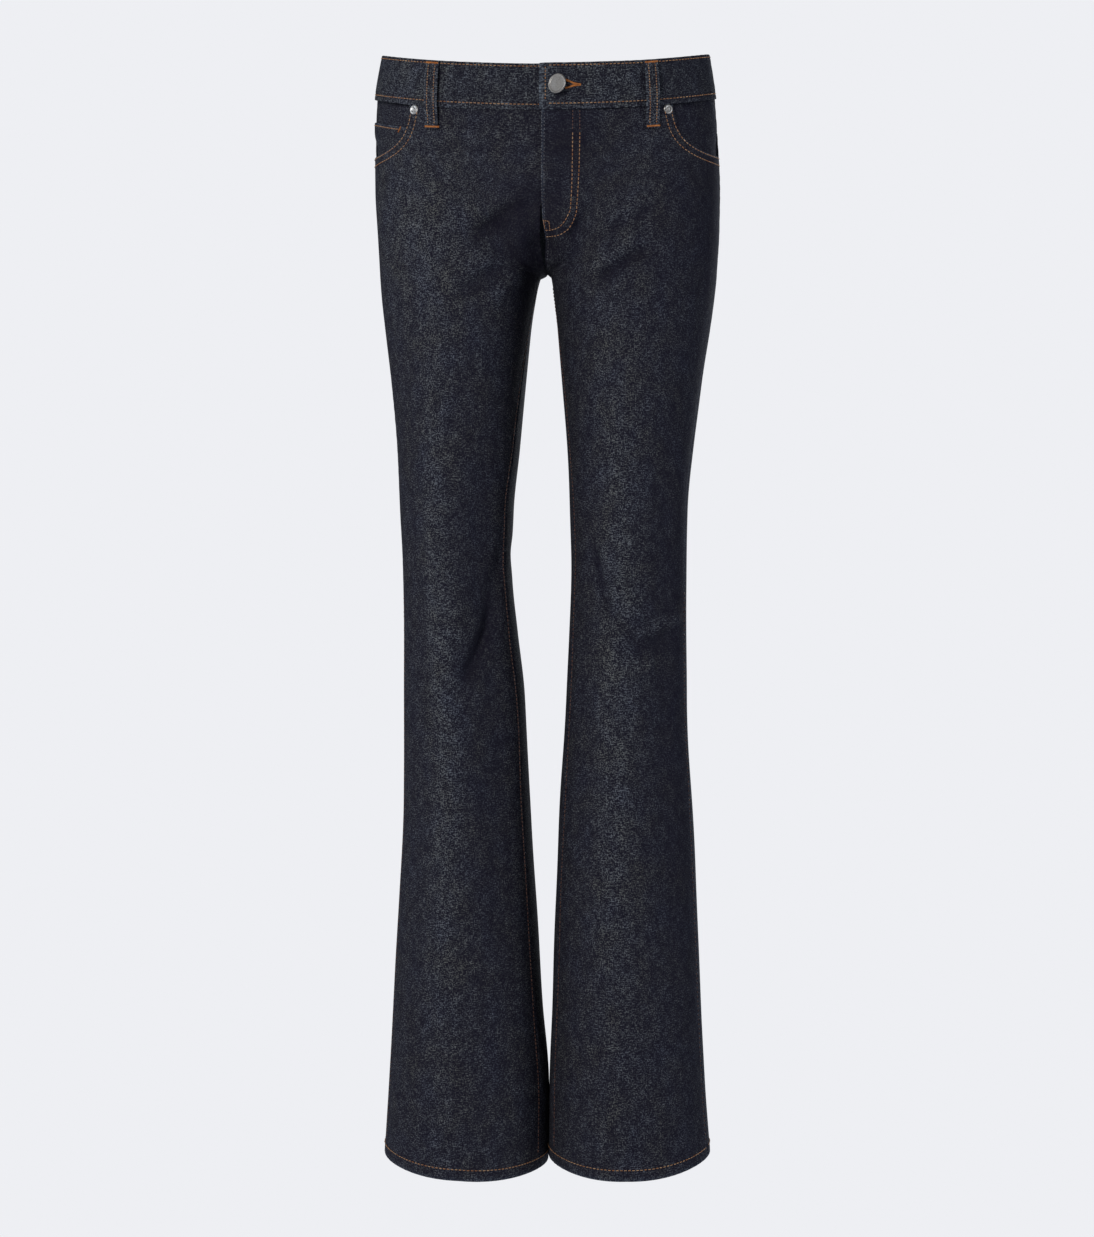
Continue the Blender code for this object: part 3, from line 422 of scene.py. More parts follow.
def twillGroup():  # slubby twill: a dark warp, paler weft in flecks, paler still where it is worn
    group = bpy.data.node_groups.new("slubTwill", "ShaderNodeTree")
    socket(group, "Weave", "NodeSocketVector", "INPUT")
    socket(group, "Wear", "NodeSocketFloat", "INPUT", 0.0)
    # the Flecks input carries the real fleck density together with painted light and painted shade
    socket(group, "Flecks", "NodeSocketFloat", "INPUT", 1.0)
    for name, colour in (("Warp", (0.0086, 0.0078, 0.0168, 1)), ("Weft", (0.135, 0.144, 0.140, 1)),
                         ("Cool Weft", (0.118, 0.136, 0.175, 1)), ("Worn", (0.17, 0.22, 0.30, 1))):
        socket(group, name, "NodeSocketColor", "INPUT", colour)
    socket(group, "Color", "NodeSocketColor", "OUTPUT")
    socket(group, "Roughness", "NodeSocketFloat", "OUTPUT")
    socket(group, "Height", "NodeSocketFloat", "OUTPUT")
    inside, outside = node(group, "NodeGroupInput"), node(group, "NodeGroupOutput")
    weave = inside.outputs["Weave"]
    weft = stretchTo(group, noiseOn(group, weave, (230, 1150), 1.0), 0.560, 0.74)
    warp = stretchTo(group, noiseOn(group, weave, (1150, 280), 1.0), 0.570, 0.76)
    speck = stretchTo(group, noiseOn(group, weave, (820, 820), 0.5), 0.575, 0.75)
    cloud = stretchTo(group, noiseOn(group, weave, (95, 80), 3.0, 0.65), 0.30, 0.70)
    tone = stretchTo(group, noiseOn(group, weave, (36, 24), 3.0, 0.6), 0.25, 0.75)
    wave = node(group, "ShaderNodeTexWave", wave_type="BANDS", bands_direction="DIAGONAL")
    stretch = node(group, "ShaderNodeVectorMath", operation="MULTIPLY")
    group.links.new(weave, stretch.inputs[0])
    stretch.inputs[1].default_value = (330, 200, 1)
    group.links.new(stretch.outputs[0], wave.inputs["Vector"])
    wave.inputs["Scale"].default_value = 0.5
    wave.inputs["Distortion"].default_value = 0.6
    twill = wave.outputs["Fac"]
    flecks = mathNode(group, "ADD", mathNode(group, "MULTIPLY", weft, 0.75), mathNode(group, "MULTIPLY", warp, 0.50))
    flecks = mathNode(group, "ADD", flecks, mathNode(group, "MULTIPLY", speck, 0.95))
    slub = mathNode(group, "ADD", flecks, mathNode(group, "MULTIPLY", twill, 0.12), clamp=True)
    patchy = mathNode(group, "ADD", mathNode(group, "MULTIPLY", cloud, 0.80), 0.38)
    flecks = mathNode(group, "MULTIPLY", flecks, mathNode(group, "MULTIPLY", patchy, inside.outputs["Flecks"]))
    grain = mathNode(group, "MULTIPLY", mathNode(group, "ADD", twill, cloud), 0.022)
    flecks = mathNode(group, "ADD", flecks, grain, clamp=True)
    pale = mixColour(group, tone, inside.outputs["Weft"], inside.outputs["Cool Weft"])
    blended = mixColour(group, flecks, inside.outputs["Warp"], pale)
    rubbed = mathNode(group, "MULTIPLY", inside.outputs["Wear"],
                      mathNode(group, "ADD", mathNode(group, "MULTIPLY", slub, 0.95), 0.10), clamp=True)
    group.links.new(mixColour(group, rubbed, blended, inside.outputs["Worn"]), outside.inputs["Color"])
    rough = mathNode(group, "ADD", mathNode(group, "MULTIPLY", flecks, -0.10), 0.92)
    group.links.new(rough, outside.inputs["Roughness"])
    height = mathNode(group, "ADD", mathNode(group, "MULTIPLY", twill, 0.35), mathNode(group, "MULTIPLY", slub, 0.65))
    group.links.new(height, outside.inputs["Height"])
    return group


twillWeave = twillGroup()


def newFinish(name):
    made = bpy.data.materials.new(name)
    made.use_nodes = True
    tree = made.node_tree
    shader = tree.nodes["Principled BSDF"]
    return made, tree, shader


def denimFinish(name, bump=0.00022, **tones):
    made, tree, shader = newFinish(name)
    group = node(tree, "ShaderNodeGroup")
    group.node_tree = twillWeave
    uv = node(tree, "ShaderNodeUVMap", uv_map="weave")
    tree.links.new(uv.outputs[0], group.inputs["Weave"])
    for key, spread in (("Wear", "wear"), ("Flecks", "flecks")):
        reading = node(tree, "ShaderNodeAttribute", attribute_name=spread)
        tree.links.new(reading.outputs["Fac"], group.inputs[key])
    for key, colour in tones.items():
        group.inputs[key].default_value = (*colour, 1)
    tree.links.new(group.outputs["Color"], shader.inputs["Base Color"])
    tree.links.new(group.outputs["Roughness"], shader.inputs["Roughness"])
    relief = node(tree, "ShaderNodeBump")
    relief.inputs["Strength"].default_value = 0.6
    relief.inputs["Distance"].default_value = bump
    tree.links.new(group.outputs["Height"], relief.inputs["Height"])
    tree.links.new(relief.outputs[0], shader.inputs["Normal"])
    shader.inputs["Specular IOR Level"].default_value = 0.06
    shader.inputs["Sheen Weight"].default_value = 0.008
    shader.inputs["Sheen Roughness"].default_value = 0.6
    return made


def mottle(tree, shader, dark, light, scale, detail, spread, relief, strength=1.0):  # two tones, one fine relief
    place, noise, bump = (node(tree, "ShaderNode" + kind) for kind in ("TexCoord", "TexNoise", "Bump"))
    noise.inputs["Scale"].default_value, noise.inputs["Detail"].default_value = scale, detail
    tree.links.new(place.outputs["Object"], noise.inputs["Vector"])
    factor = stretchTo(tree, noise.outputs["Fac"], *spread)
    tree.links.new(mixColour(tree, factor, dark, light), shader.inputs["Base Color"])
    bump.inputs["Strength"].default_value, bump.inputs["Distance"].default_value = strength, relief
    tree.links.new(noise.outputs["Fac"], bump.inputs["Height"])
    tree.links.new(bump.outputs[0], shader.inputs["Normal"])
    return factor


def threadFinish(name, light, dark):
    made, tree, shader = newFinish(name)
    mottle(tree, shader, dark, light, 190, 3, (0.35, 0.70), 0.0001)
    shader.inputs["Roughness"].default_value = 0.62
    shader.inputs["Specular IOR Level"].default_value = 0.35
    return made


def metalFinish(name, light, dark, roughness):
    made, tree, shader = newFinish(name)
    factor = mottle(tree, shader, dark, light, 900, 4, (0.30, 0.72), 0.00005, strength=0.25)
    tree.links.new(mathNode(tree, "ADD", mathNode(tree, "MULTIPLY", factor, -0.12), roughness + 0.06),
                   shader.inputs["Roughness"])
    shader.inputs["Metallic"].default_value = 0.85
    return made


denimFace = denimFinish("denimFace")
denimBand = denimFinish("denimBand", Warp=(0.0092, 0.0088, 0.0170), Weft=(0.135, 0.148, 0.150),
                        Worn=(0.15, 0.18, 0.22))
denimBack = denimFinish("denimBack", Warp=(0.060, 0.070, 0.095), Weft=(0.33, 0.34, 0.35))
copperThread = threadFinish("copperThread", (0.480, 0.310, 0.180), (0.280, 0.110, 0.040))
orangeThread = threadFinish("orangeThread", (0.560, 0.215, 0.055), (0.330, 0.105, 0.022))
brownThread = threadFinish("brownThread", (0.150, 0.075, 0.055), (0.075, 0.036, 0.030))
paleThread = threadFinish("paleThread", (0.180, 0.200, 0.240), (0.070, 0.055, 0.055))
pewter = metalFinish("pewter", (0.42, 0.41, 0.395), (0.28, 0.27, 0.262), 0.36)
# a paler, smoother copy of the pewter for the rivet on the lit side: painted highlight
paintedHighlightMetal = metalFinish("paintedHighlightMetal", (0.66, 0.66, 0.66), (0.42, 0.42, 0.42), 0.30)
zipTape = denimFinish("zipTape", Warp=(0.012, 0.013, 0.020), Weft=(0.030, 0.033, 0.045))
print("finishes made")

panel = {
    "columns": 88 if fine else 34, "mouthColumns": 30 if fine else 12, "row": 0.0038 if fine else 0.009,
    "topRows": 50 if fine else 18, "turnRows": 30 if fine else 12,
}
fly = {"width": 0.034, "bottom": -0.1650, "lift": 0.0009, "tuck": 0.005, "tuckEnd": -0.140, "blend": 0.010}
pocketMouth = {"mouth": 0.086, "depth": 0.0575, "squareness": 3.0, "underlap": 0.012}
yokeDrop = {"centre": 0.062, "side": 0.033}
wearing = {  # how pale each edge is worn, and how far in
    "mouth": (0.45, 0.0022), "hem": (0.25, 0.0022), "side": (0.25, 0.0025), "lap": (0.45, 0.0011),
    "underYoke": (0.22, 0.0022), "seat": (0.20, 0.0022), "yoke": (0.25, 0.0022), "bandTop": (0.12, 0.0015),
    "bandFoot": (0.10, 0.0018), "bandEnd": (0.90, 0.0011), "besideEnd": (0.25, 0.0040), "coinTop": (0.35, 0.0020),
    "backPocket": (0.35, 0.0022), "loop": (0.40, 0.0010),
}


def flyLift(side, half, across, z):  # the left front lies over the right one along the fly
    if half == "back":
        return np.zeros(np.broadcast(across, z).shape)
    distance = np.abs(across) * form["panelWidth"]
    closed = smooth((z - fly["bottom"]) / 0.004)
    if side == leftSide:
        return fly["lift"] * (1 - smooth((distance - fly["width"]) / fly["blend"])) * closed
    return -fly["lift"] * (1 - smooth((distance - fly["tuck"]) / (2 * fly["blend"]))) * closed


def scoop(steps, grow=0.0):  # the pocket mouth, or a row beside it: distance from the side seam, drop
    power = 2 / pocketMouth["squareness"]
    angle = np.linspace(0, math.pi / 2, steps)
    run = (pocketMouth["mouth"] + grow) * np.maximum(np.cos(angle), 0) ** power
    drop = (pocketMouth["depth"] + grow) * np.maximum(np.sin(angle), 0) ** power
    even = np.concatenate([[0], np.cumsum(np.hypot(np.diff(run), np.diff(drop)))])
    at = np.linspace(0, even[-1], steps)
    return np.stack([np.interp(at, even, run), np.interp(at, even, drop)], -1)


def legHeights(start):  # closest where the crotch seam turns under and at the hem
    crotch, hem = form["crotch"], form["hem"]
    turn = start - (start - crotch) * np.sin(np.linspace(0, math.pi / 2, panel["turnRows"]))
    saddle = crotch - 0.028 * np.linspace(0, 1, panel["turnRows"] // 2)[1:] ** 1.6
    low = hem + form["hemFold"] + 0.010
    leg = np.linspace(saddle[-1], low, int((saddle[-1] - low) / panel["row"]))[1:]
    fold = hem + 0.5 * form["cloth"] + (form["hemFold"] + 0.010) * np.linspace(1, 0, 14 if fine else 7)[1:]
    return np.concatenate([turn, saddle, leg, fold])


def wallThickness(z):
    return form["cloth"] * (1 + smooth((form["hem"] + form["hemFold"] - z) / 0.0008))


allowance = {  # distances from the seam, above zero on the panel's own side, and how far each drops under its neighbour
    "tucked": (-0.0040, 0.0000, 0.0005, 0.0011), "plain": (0.00075, 0.00100, 0.00125, 0.00150),
    "drop": (1.0, 1.0, 0.55, 0.05), "clearance": 0.0004, "underYoke": -0.0085,
    "sideFrom": -0.082, "seatTo": form["crotch"] - 0.003,
}


def allow(tucked):  # one edge's distances and drops: tucked is 1, a plain edge is 0
    tucked = np.asarray(tucked, float)[..., None]
    away = tucked * np.array(allowance["tucked"]) + (1 - tucked) * np.array(allowance["plain"])
    return away, tucked * np.array(allowance["drop"])


def withSeams(even, width, atStart, atEnd):  # a panel's shares and drops, with an allowance down each side
    start, startDrop = allow(atStart)
    end, endDrop = allow(atEnd)
    inner = np.broadcast_to(even[1:-1], (len(width), len(even) - 2))
    edge = width[:, :1]
    across = np.concatenate([start / edge, inner, 1 - end[:, ::-1] / edge], 1)
    drop = np.concatenate([startDrop, np.zeros(inner.shape), endDrop[:, ::-1]], 1)
    return across, drop


def panelPiece(name, side, half, across, z, wear, drop=0.0):
    lift = flyLift(side, half, across, z) - drop * (wallThickness(z) + allowance["clearance"])
    outer = cloth(side, half, across, z, lift)
    inner = cloth(side, half, across, z, lift - wallThickness(z))
    uv = np.stack([(across - 0.5) * widthAt(side, half, z), z], -1) + (0.37 * side, 0.21 if half == "front" else 0.0)
    flecks = fleckShare(side, half, across, z)
    made = clothShell(name, outer, inner, uv, wear, denimFace, denimBack, flecks)
    return made


def worn(edge, distance):
    amount, reach = wearing[edge]
    return amount * np.exp(-((distance / reach) ** 2))


def frontPanel(name, side):
    mouth = scoop(panel["mouthColumns"])
    mouth[-1, 0] = 0
    mouthShare = float(shareAt(side, "front", form["bandBottom"], pocketMouth["mouth"], "side"))
    plain = panel["columns"] + 1 - len(mouth)
    topAcross = np.concatenate([np.linspace(0, mouthShare, plain + 1)[:-1],
                                shareAt(side, "front", form["bandBottom"] - mouth[:, 1], mouth[:, 0], "side")])
    topDrop = np.concatenate([np.zeros(plain), mouth[:, 1]])
    topZ = form["bandBottom"] - form["seamGap"] - 0.5 * form["cloth"] - topDrop
    even = np.linspace(0, 1, panel["columns"] + 1)
    below = legHeights(form["forkStart"]["front"])
    t = np.linspace(0, 1, panel["topRows"])[:-1, None]
    across = np.concatenate([topAcross * (1 - t) + even * t, np.broadcast_to(even, (len(below), len(even)))])
    z = np.concatenate([topZ * (1 - t) + below[0] * t, np.broadcast_to(below[:, None], (len(below), len(even)))])
    width = widthAt(side, "front", z)
    across = insideSeams(across, width)
    if side == rightSide:
        under = smooth((z[:, 0] - fly["tuckEnd"]) / 0.008)
        across[:, 0] = across[:, 0] * (1 - under) - fly["tuck"] / form["panelWidth"] * under
    row = np.arange(len(z))[:, None]
    column = np.arange(z.shape[1])[None, :]
    wear = worn("mouth", z[0] - z) * (column >= plain) * (row < panel["topRows"])
    wear = wear + worn("hem", z - form["hem"])
    wear = wear + worn("side", (1 - across) * width) * (z < form["bandBottom"] - 0.06)
    if side == leftSide:
        wear = wear + worn("lap", np.abs(across) * width) * smooth((z + 0.185) / 0.02)
    return panelPiece(name, side, "front", across, z, np.clip(wear, 0, 1))


def yokeLine(shares, gap):
    return form["bandBottom"] - (yokeDrop["centre"] + (yokeDrop["side"] - yokeDrop["centre"]) * shares) + gap


def backPanel(name, side):
    even = np.linspace(0, 1, panel["columns"] + 1)
    shares = np.concatenate([np.zeros(4), even[1:-1], np.ones(4)])
    below = legHeights(form["forkStart"]["back"])
    away, rowDrop = allow(1.0)
    away[0] = allowance["underYoke"]
    t = np.linspace(0, 1, max(4, panel["topRows"] // 4))[:-1, None]
    seam = yokeLine(shares, 0.0)
    start = seam - 0.0020
    z = np.concatenate([seam - away[:, None], start * (1 - t) + below[0] * t,
                        np.broadcast_to(below[:, None], (len(below), len(shares)))])
    middle = z[:, len(shares) // 2]
    under = 1.0 if side == rightSide else smooth((allowance["seatTo"] - middle) / 0.005)
    atStart = np.broadcast_to(under, middle.shape)
    atEnd = smooth((allowance["sideFrom"] - z[:, -1]) / 0.006)
    width = widthAt(side, "back", z)
    across, drop = withSeams(even, width, atStart, atEnd)
    drop[:4] = np.maximum(drop[:4], rowDrop[:, None])
    wear = worn("underYoke", seam - 0.0015 - z) + worn("hem", z - form["hem"])
    wear = wear + worn("seat", across * width - 0.0012) * (z > form["crotch"])
    return panelPiece(name, side, "back", across, z, np.clip(wear, 0, 1), drop)


def yokePanel(name, side):
    even = np.linspace(0, 1, panel["columns"] + 1)
    shares = np.concatenate([np.zeros(4), even[1:-1], np.ones(4)])
    topZ = form["bandBottom"] - form["seamGap"] - 0.5 * form["cloth"]
    lowZ = yokeLine(shares, 0.5 * (form["seamGap"] + form["cloth"]))
    z = topZ + (lowZ - topZ) * np.linspace(0, 1, 22 if fine else 9)[:, None]
    under = smooth((z[:, 0] - lowZ[0] - 0.0070) / 0.0010) if side == rightSide else np.zeros(len(z))
    across, drop = withSeams(even, widthAt(side, "back", z), under, np.zeros(len(z)))
    return panelPiece(name, side, "back", across, z, np.clip(worn("yoke", z - lowZ), 0, 1), drop)


cuts = {  # flat width and length, in metres, and flat area
    "front": {"flat": (0.240, 1.035), "area": 0.178, "hangsFrom": "waistband"},
    "back": {"flat": (0.270, 0.990), "area": 0.205, "hangsFrom": "waistband"},
    "yoke": {"flat": (0.215, 0.063), "area": 0.0098, "hangsFrom": "waistband"},
}
bothSides = ((rightSide, "right"), (leftSide, "left"))
for side, who in bothSides:
    addPiece(frontPanel("frontPanel_" + who, side), "denim", "front_" + who)
    addPiece(backPanel("backPanel_" + who, side), "denim", "back_" + who)
    addPiece(yokePanel("yokePanel_" + who, side), "denim", "yoke_" + who)
print("panels made")

band = {
    "proud": 0.0016, "thickness": 0.0030, "overlap": 0.036, "lapLift": 0.00165, "lapBlend": 0.050,
    "rows": 30 if fine else 12, "perQuarter": 104 if fine else 30,
    "stitchRows": (0.0030, 0.0380), "groove": 0.00035, "lip": 0.00045,  # rows are below the top edge
}


def bandStations():  # side, half, share and lift, from the waistband's hidden end round to the end on top
    lap, blendTo = band["overlap"] / form["panelWidth"], band["lapBlend"] / form["panelWidth"]
    quarter = np.linspace(0, 1, band["perQuarter"] + 1)
    lapped = np.linspace(lap, 0, int(band["perQuarter"] * lap) + 2)
    stations = [(leftSide, "front", share, -band["lapLift"]) for share in lapped[:-1]]
    stations += [(rightSide, "front", share, -band["lapLift"] * (1 - smooth(share / blendTo))) for share in quarter]
    stations += [(rightSide, "back", share, 0.0) for share in quarter[::-1][1:]]
    stations += [(leftSide, "back", share, 0.0) for share in quarter[1:]]
    beyond = np.concatenate([np.linspace(1, lap, int(band["perQuarter"] * (1 - lap)))[1:], lapped[1:]])
    stations += [(leftSide, "front", share, band["lapLift"] * (1 - smooth((share - lap) / blendTo)))
                 for share in beyond]
    return stations


def bandFace(drop, run):  # it swells between its rows of stitches, with small pulls along them
    lift = 0.0
    for seed, row in enumerate(band["stitchRows"]):
        away = np.exp(-(((drop - row) / 0.0013) ** 2))
        lift = lift - band["groove"] * away * (1 + 0.5 * ripple(run, 0.0042, 1.3 + seed))
        lift = lift + 0.00016 * np.exp(-(((drop - row) / 0.0045) ** 2)) * ripple(run, 0.0115, 0.4 + seed)
    return lift


def waistband(name):
    radius = band["thickness"] / 2
    low = form["bandBottom"]
    heights = np.concatenate([np.linspace(form["bandTop"] - radius, low + 0.0009, band["rows"]),
                              [low + 0.0002, low - 0.0006]])
    innerHeights = np.concatenate([heights[:-2], [low + 0.0003, low - 0.0006]])
    stations = bandStations()
    run, runs, outer, inner, last = 0.0, [], [], [], None
    for side, half, share, lift in stations:
        width = float(widthAt(side, half, 0.0))
        if last:
            same = last[:2] == (side, half)
            run += abs(share - last[2]) * width if same else (share + last[2]) * width * (share < 0.5)
        last = (side, half, share)
        face = lift + band["proud"] + bandFace(form["bandTop"] - heights, run)
        outer.append(cloth(side, half, share, heights, face))
        lip = max(lift + band["lip"], float(flyLift(side, half, share, low)) + 0.00025)
        behind = np.full(len(heights), lift + band["proud"] - band["thickness"])
        behind[-2:] = lip  # hangs just over the panels' top edges
        inner.append(cloth(side, half, share, innerHeights, behind))
        runs.append(run)
    outer, inner = np.array(outer).swapaxes(0, 1), np.array(inner).swapaxes(0, 1)
    uv = np.stack(np.meshgrid(runs, heights), -1)
    drop = form["bandTop"] - heights[:, None]
    tall = form["bandTop"] - form["bandBottom"]
    fromEnd = runs[-1] - np.array(runs)[None, :]
    wear = worn("bandTop", drop) + worn("bandFoot", tall - drop) + worn("bandEnd", fromEnd)
    wear = wear + worn("besideEnd", fromEnd - 0.004)
    # below brings the panels' painted light and shade up into the band; the wearer's left hip, turned from the light,
    # gets fewer pale flecks: painted shade
    below = np.array([fleckShare(side, half, share, -0.06) for side, half, share, _ in stations])
    paintedShadeSide = np.array([side == leftSide and half == "front" and share > 0.45 for side, half, share, _ in stations])
    flecks = 0.85 + 0.5 * (below - plainFlecks) + 0.25 * np.exp(-(((fromEnd - 0.035) / 0.018) ** 2)) - 0.30 * paintedShadeSide
    made = clothShell(name, outer, inner, uv, np.clip(wear, 0, 1), denimBand, denimBack, flecks)
    return made


addPiece(waistband("waistbandCloth"), "denim", "waistband")
print("waistband made")

facingDepth = {rightSide: 0.0043, leftSide: 0.0026}
# the left pocket facing, on the side turned from the light, gets fewer pale flecks: painted shade
facingFlecks = {rightSide: 0.60, leftSide: 0.35}
coinPocket = {"drop": 0.0235, "bottom": 0.064, "fromSide": 0.004, "reach": 0.094, "thickness": 0.0010,
              "layerGap": 0.0005, "stitchRun": (0.0745, 0.0060), "stitchDrop": (0.0262, 0.0255)}
backPocket = {"fromSide": 0.056, "belowYoke": 0.012, "width": 0.120, "foot": 0.100, "side": 0.096, "tip": 0.020,
              "gap": 0.0009, "topRow": 0.013, "columns": 48 if fine else 20, "rows": 40 if fine else 16}


def facingLift(side, run, drop):
    power = pocketMouth["squareness"]
    inside = 1 - ((run / pocketMouth["mouth"]) ** power + (drop / pocketMouth["depth"]) ** power) ** (1 / power)
    deep = facingDepth[side]
    raised = smooth((inside - 0.10) / 0.35) * (1 - smooth(run / 0.035))
    return -(deep - (deep - 0.0005) * raised)


def sidePatch(name, side, runs, drops, under, thickness, flecks, wear=0.0):
    run, drop = np.meshgrid(runs, drops)
    z = form["bandBottom"] - drop
    across = np.minimum(shareAt(side, "front", z, run, "side"), insideSeams(1.0))
    lift = facingLift(side, run, drop) - under
    outer = cloth(side, "front", across, z, lift)
    inner = cloth(side, "front", across, z, lift - thickness)
    uv = np.stack([run, -drop], -1) + (0.11 * side, 0.3)
    made = clothShell(name, outer, inner, uv, wear, denimFace, denimBack, flecks)
    return made


patchColumns, patchRows = (34, 26) if fine else (14, 12)
for side, who in bothSides:
    runs = np.linspace(pocketMouth["mouth"] + pocketMouth["underlap"], 0.5 * form["cloth"], patchColumns)
    top = form["seamGap"] + 0.5 * form["cloth"]
    drops = np.linspace(top, pocketMouth["depth"] + pocketMouth["underlap"], patchRows)
    made = sidePatch("pocketFacing_" + who, side, runs, drops, 0.0, form["cloth"], facingFlecks[side])
    addPiece(made, "denim", "pocket_facing_" + who)
runs = np.linspace(coinPocket["reach"], coinPocket["fromSide"], patchColumns)
drops = np.linspace(coinPocket["drop"], coinPocket["bottom"], patchRows)
under = -coinPocket["layerGap"] - coinPocket["thickness"]
made = sidePatch("coinPocketCloth", rightSide, runs, drops, under, coinPocket["thickness"], 0.75,
                 worn("coinTop", drops - drops[0])[:, None])
addPiece(made, "denim", "coin_pocket")


def backPocketPlaces(u, t, inset=0.0):  # distance from the side seam and drop, for u across and t down from 0 to 1
    width = backPocket["width"] + (backPocket["foot"] - backPocket["width"]) * t - 2 * inset
    run = backPocket["fromSide"] + backPocket["width"] / 2 + (u - 0.5) * width
    point = backPocket["tip"] * (1 - np.abs(2 * u - 1)) * t
    slope = (yokeDrop["centre"] - yokeDrop["side"]) / cuts["yoke"]["flat"][0]
    top = yokeDrop["side"] + slope * run + backPocket["belowYoke"]
    return run, top + (backPocket["side"] - inset) * t + point


def backPocketPiece(name, side):
    u, t = np.meshgrid(np.linspace(0, 1, backPocket["columns"]), np.linspace(0, 1, backPocket["rows"]))
    run, drop = backPocketPlaces(u, t)
    z = form["bandBottom"] - drop
    across = shareAt(side, "back", z, run, "side")
    edge = np.minimum(np.minimum(u, 1 - u) * backPocket["width"], (1 - t) * backPocket["side"])
    lift = backPocket["gap"] + 0.0012 * np.sin(math.pi * u) * np.sin(math.pi * np.clip(t * 1.05, 0, 1))
    for row in (0.003, 0.009):
        lift = lift - 0.00022 * np.exp(-(((edge - row) / 0.0018) ** 2))
    lift = lift - 0.00025 * np.exp(-(((t * backPocket["side"] - backPocket["topRow"]) / 0.0020) ** 2))
    outer = cloth(side, "back", across, z, lift + form["cloth"])
    inner = cloth(side, "back", across, z, lift)
    uv = np.stack([run, -drop], -1) + (0.23 * side, 0.5)
    wear = worn("backPocket", np.minimum(edge, t * backPocket["side"]))
    made = clothShell(name, outer, inner, uv, wear, denimFace, denimBack, 0.75)
    return made


for side, who in bothSides:
    addPiece(backPocketPiece("backPocket_" + who, side), "denim", "back_pocket_" + who)
print("pockets made")

zipStrip = {"inner": -0.008, "outer": 0.022, "top": 0.003, "bottom": 0.112, "depth": 0.0034, "thickness": 0.0010}
shieldStrip = {"inner": -0.010, "outer": 0.038, "top": 0.0006, "bottom": 0.116, "depth": 0.0047, "thickness": 0.0016}


def flyStrip(name, strip, finish):  # hidden behind the fly: the zip's tape, then the shield
    shares = np.linspace(strip["inner"], strip["outer"], 26 if fine else 12) / form["panelWidth"]
    drops = np.linspace(strip["top"], strip["bottom"], 60 if fine else 24)
    across, z = np.meshgrid(shares, form["bandBottom"] - drops)
    outer = cloth(leftSide, "front", across, z, -strip["depth"])
    inner = cloth(leftSide, "front", across, z, -strip["depth"] - strip["thickness"])
    uv = np.stack([across * form["panelWidth"], z], -1) + (0.05, 0.9)
    made = clothShell(name, outer, inner, uv, 0.0, finish, finish, 0.6)
    return made


addPiece(flyStrip("zipTape", zipStrip, zipTape), "zip_tape", "zip")
addPiece(flyStrip("flyShield", shieldStrip, denimBack), "denim", "fly_shield")
print("zip and shield made")

loop = {"width": 0.0135, "above": 0.0400, "below": 0.023, "bow": 0.0028, "thickness": 0.0018, "edge": 0.88,
        "columns": 15, "rows": 44 if fine else 20}
loops = [  # name, side, half, distance from the centre, how far its top end leans
    ("front_right", rightSide, "front", 0.1052, -0.0008), ("front_left", leftSide, "front", 0.1056, -0.0018),
    ("back_right", rightSide, "back", 0.112, 0.0), ("back_left", leftSide, "back", 0.112, 0.0),
    ("centre", leftSide, "back", 0.0, 0.0),
]


def loopStand(drop, steps):  # how far a loop's inner face stands off the cloth's own line, with its bends eased
    heights = np.linspace(-loop["above"], loop["below"], steps)
    at = np.array([-0.0405, -0.036, -0.028, -0.018, -0.008, 0.000, 0.008, 0.014, loop["below"]])
    stand = loop["bow"] * np.interp(heights, at, np.array([0.0, 0.45, 0.9, 1.0, 0.95, 0.85, 0.35, 0.05, 0.0]))
    stand = stand + np.interp(heights, at, np.array([0.0021] * 7 + [0.0009, 0.0005]))
    padded = np.concatenate([[stand[0]] * 3, stand, [stand[-1]] * 3])
    return np.interp(drop, heights, np.convolve(padded, np.array([1, 3, 5, 6, 5, 3, 1]) / 24, "valid"))


def loopPlace(row, across, drop):  # across runs from -1 to 1 over the loop's width
    name, side, half, fromCentre, lean = row
    run = fromCentre + across * loop["width"] / 2 + lean * (-drop / 0.04)
    z = form["bandBottom"] - drop
    return side, half, shareAt(side, half, z, run), z


def beltLoop(row):
    heights = np.linspace(-loop["above"], loop["below"], loop["rows"])
    across, drop = np.meshgrid(np.linspace(-loop["edge"], loop["edge"], loop["columns"]), heights)
    side, half, share, z = loopPlace(row, across, drop)
    stand = loopStand(drop, loop["rows"])
    channel = -0.00030 * np.exp(-(((np.abs(across) - 0.50) / 0.13) ** 2)) * (1 + 0.4 * ripple(drop, 0.0045, 0.7))
    crown = 0.0003 * (1 - across**2)
    outer = cloth(side, half, share, z, stand + loop["thickness"] + channel + crown)
    inner = cloth(side, half, share, z, stand)
    uv = np.stack([across * loop["width"] / 2, -drop], -1) + (row[3], 0.7)
    wear = worn("loop", (loop["edge"] - np.abs(across)) * loop["width"] / 2)
    made = clothShell("beltLoop_" + row[0], outer, inner, uv, wear, denimBand, denimBack, 1.1)
    return made


for row in loops:
    addPiece(beltLoop(row), "denim", "belt_loop_" + row[0])
print("belt loops made")

thread = {"length": 0.0029, "gap": 0.0009, "radius": 0.00042}
stitchWork = {"copper": [], "orange": [], "brown": [], "pale": []}


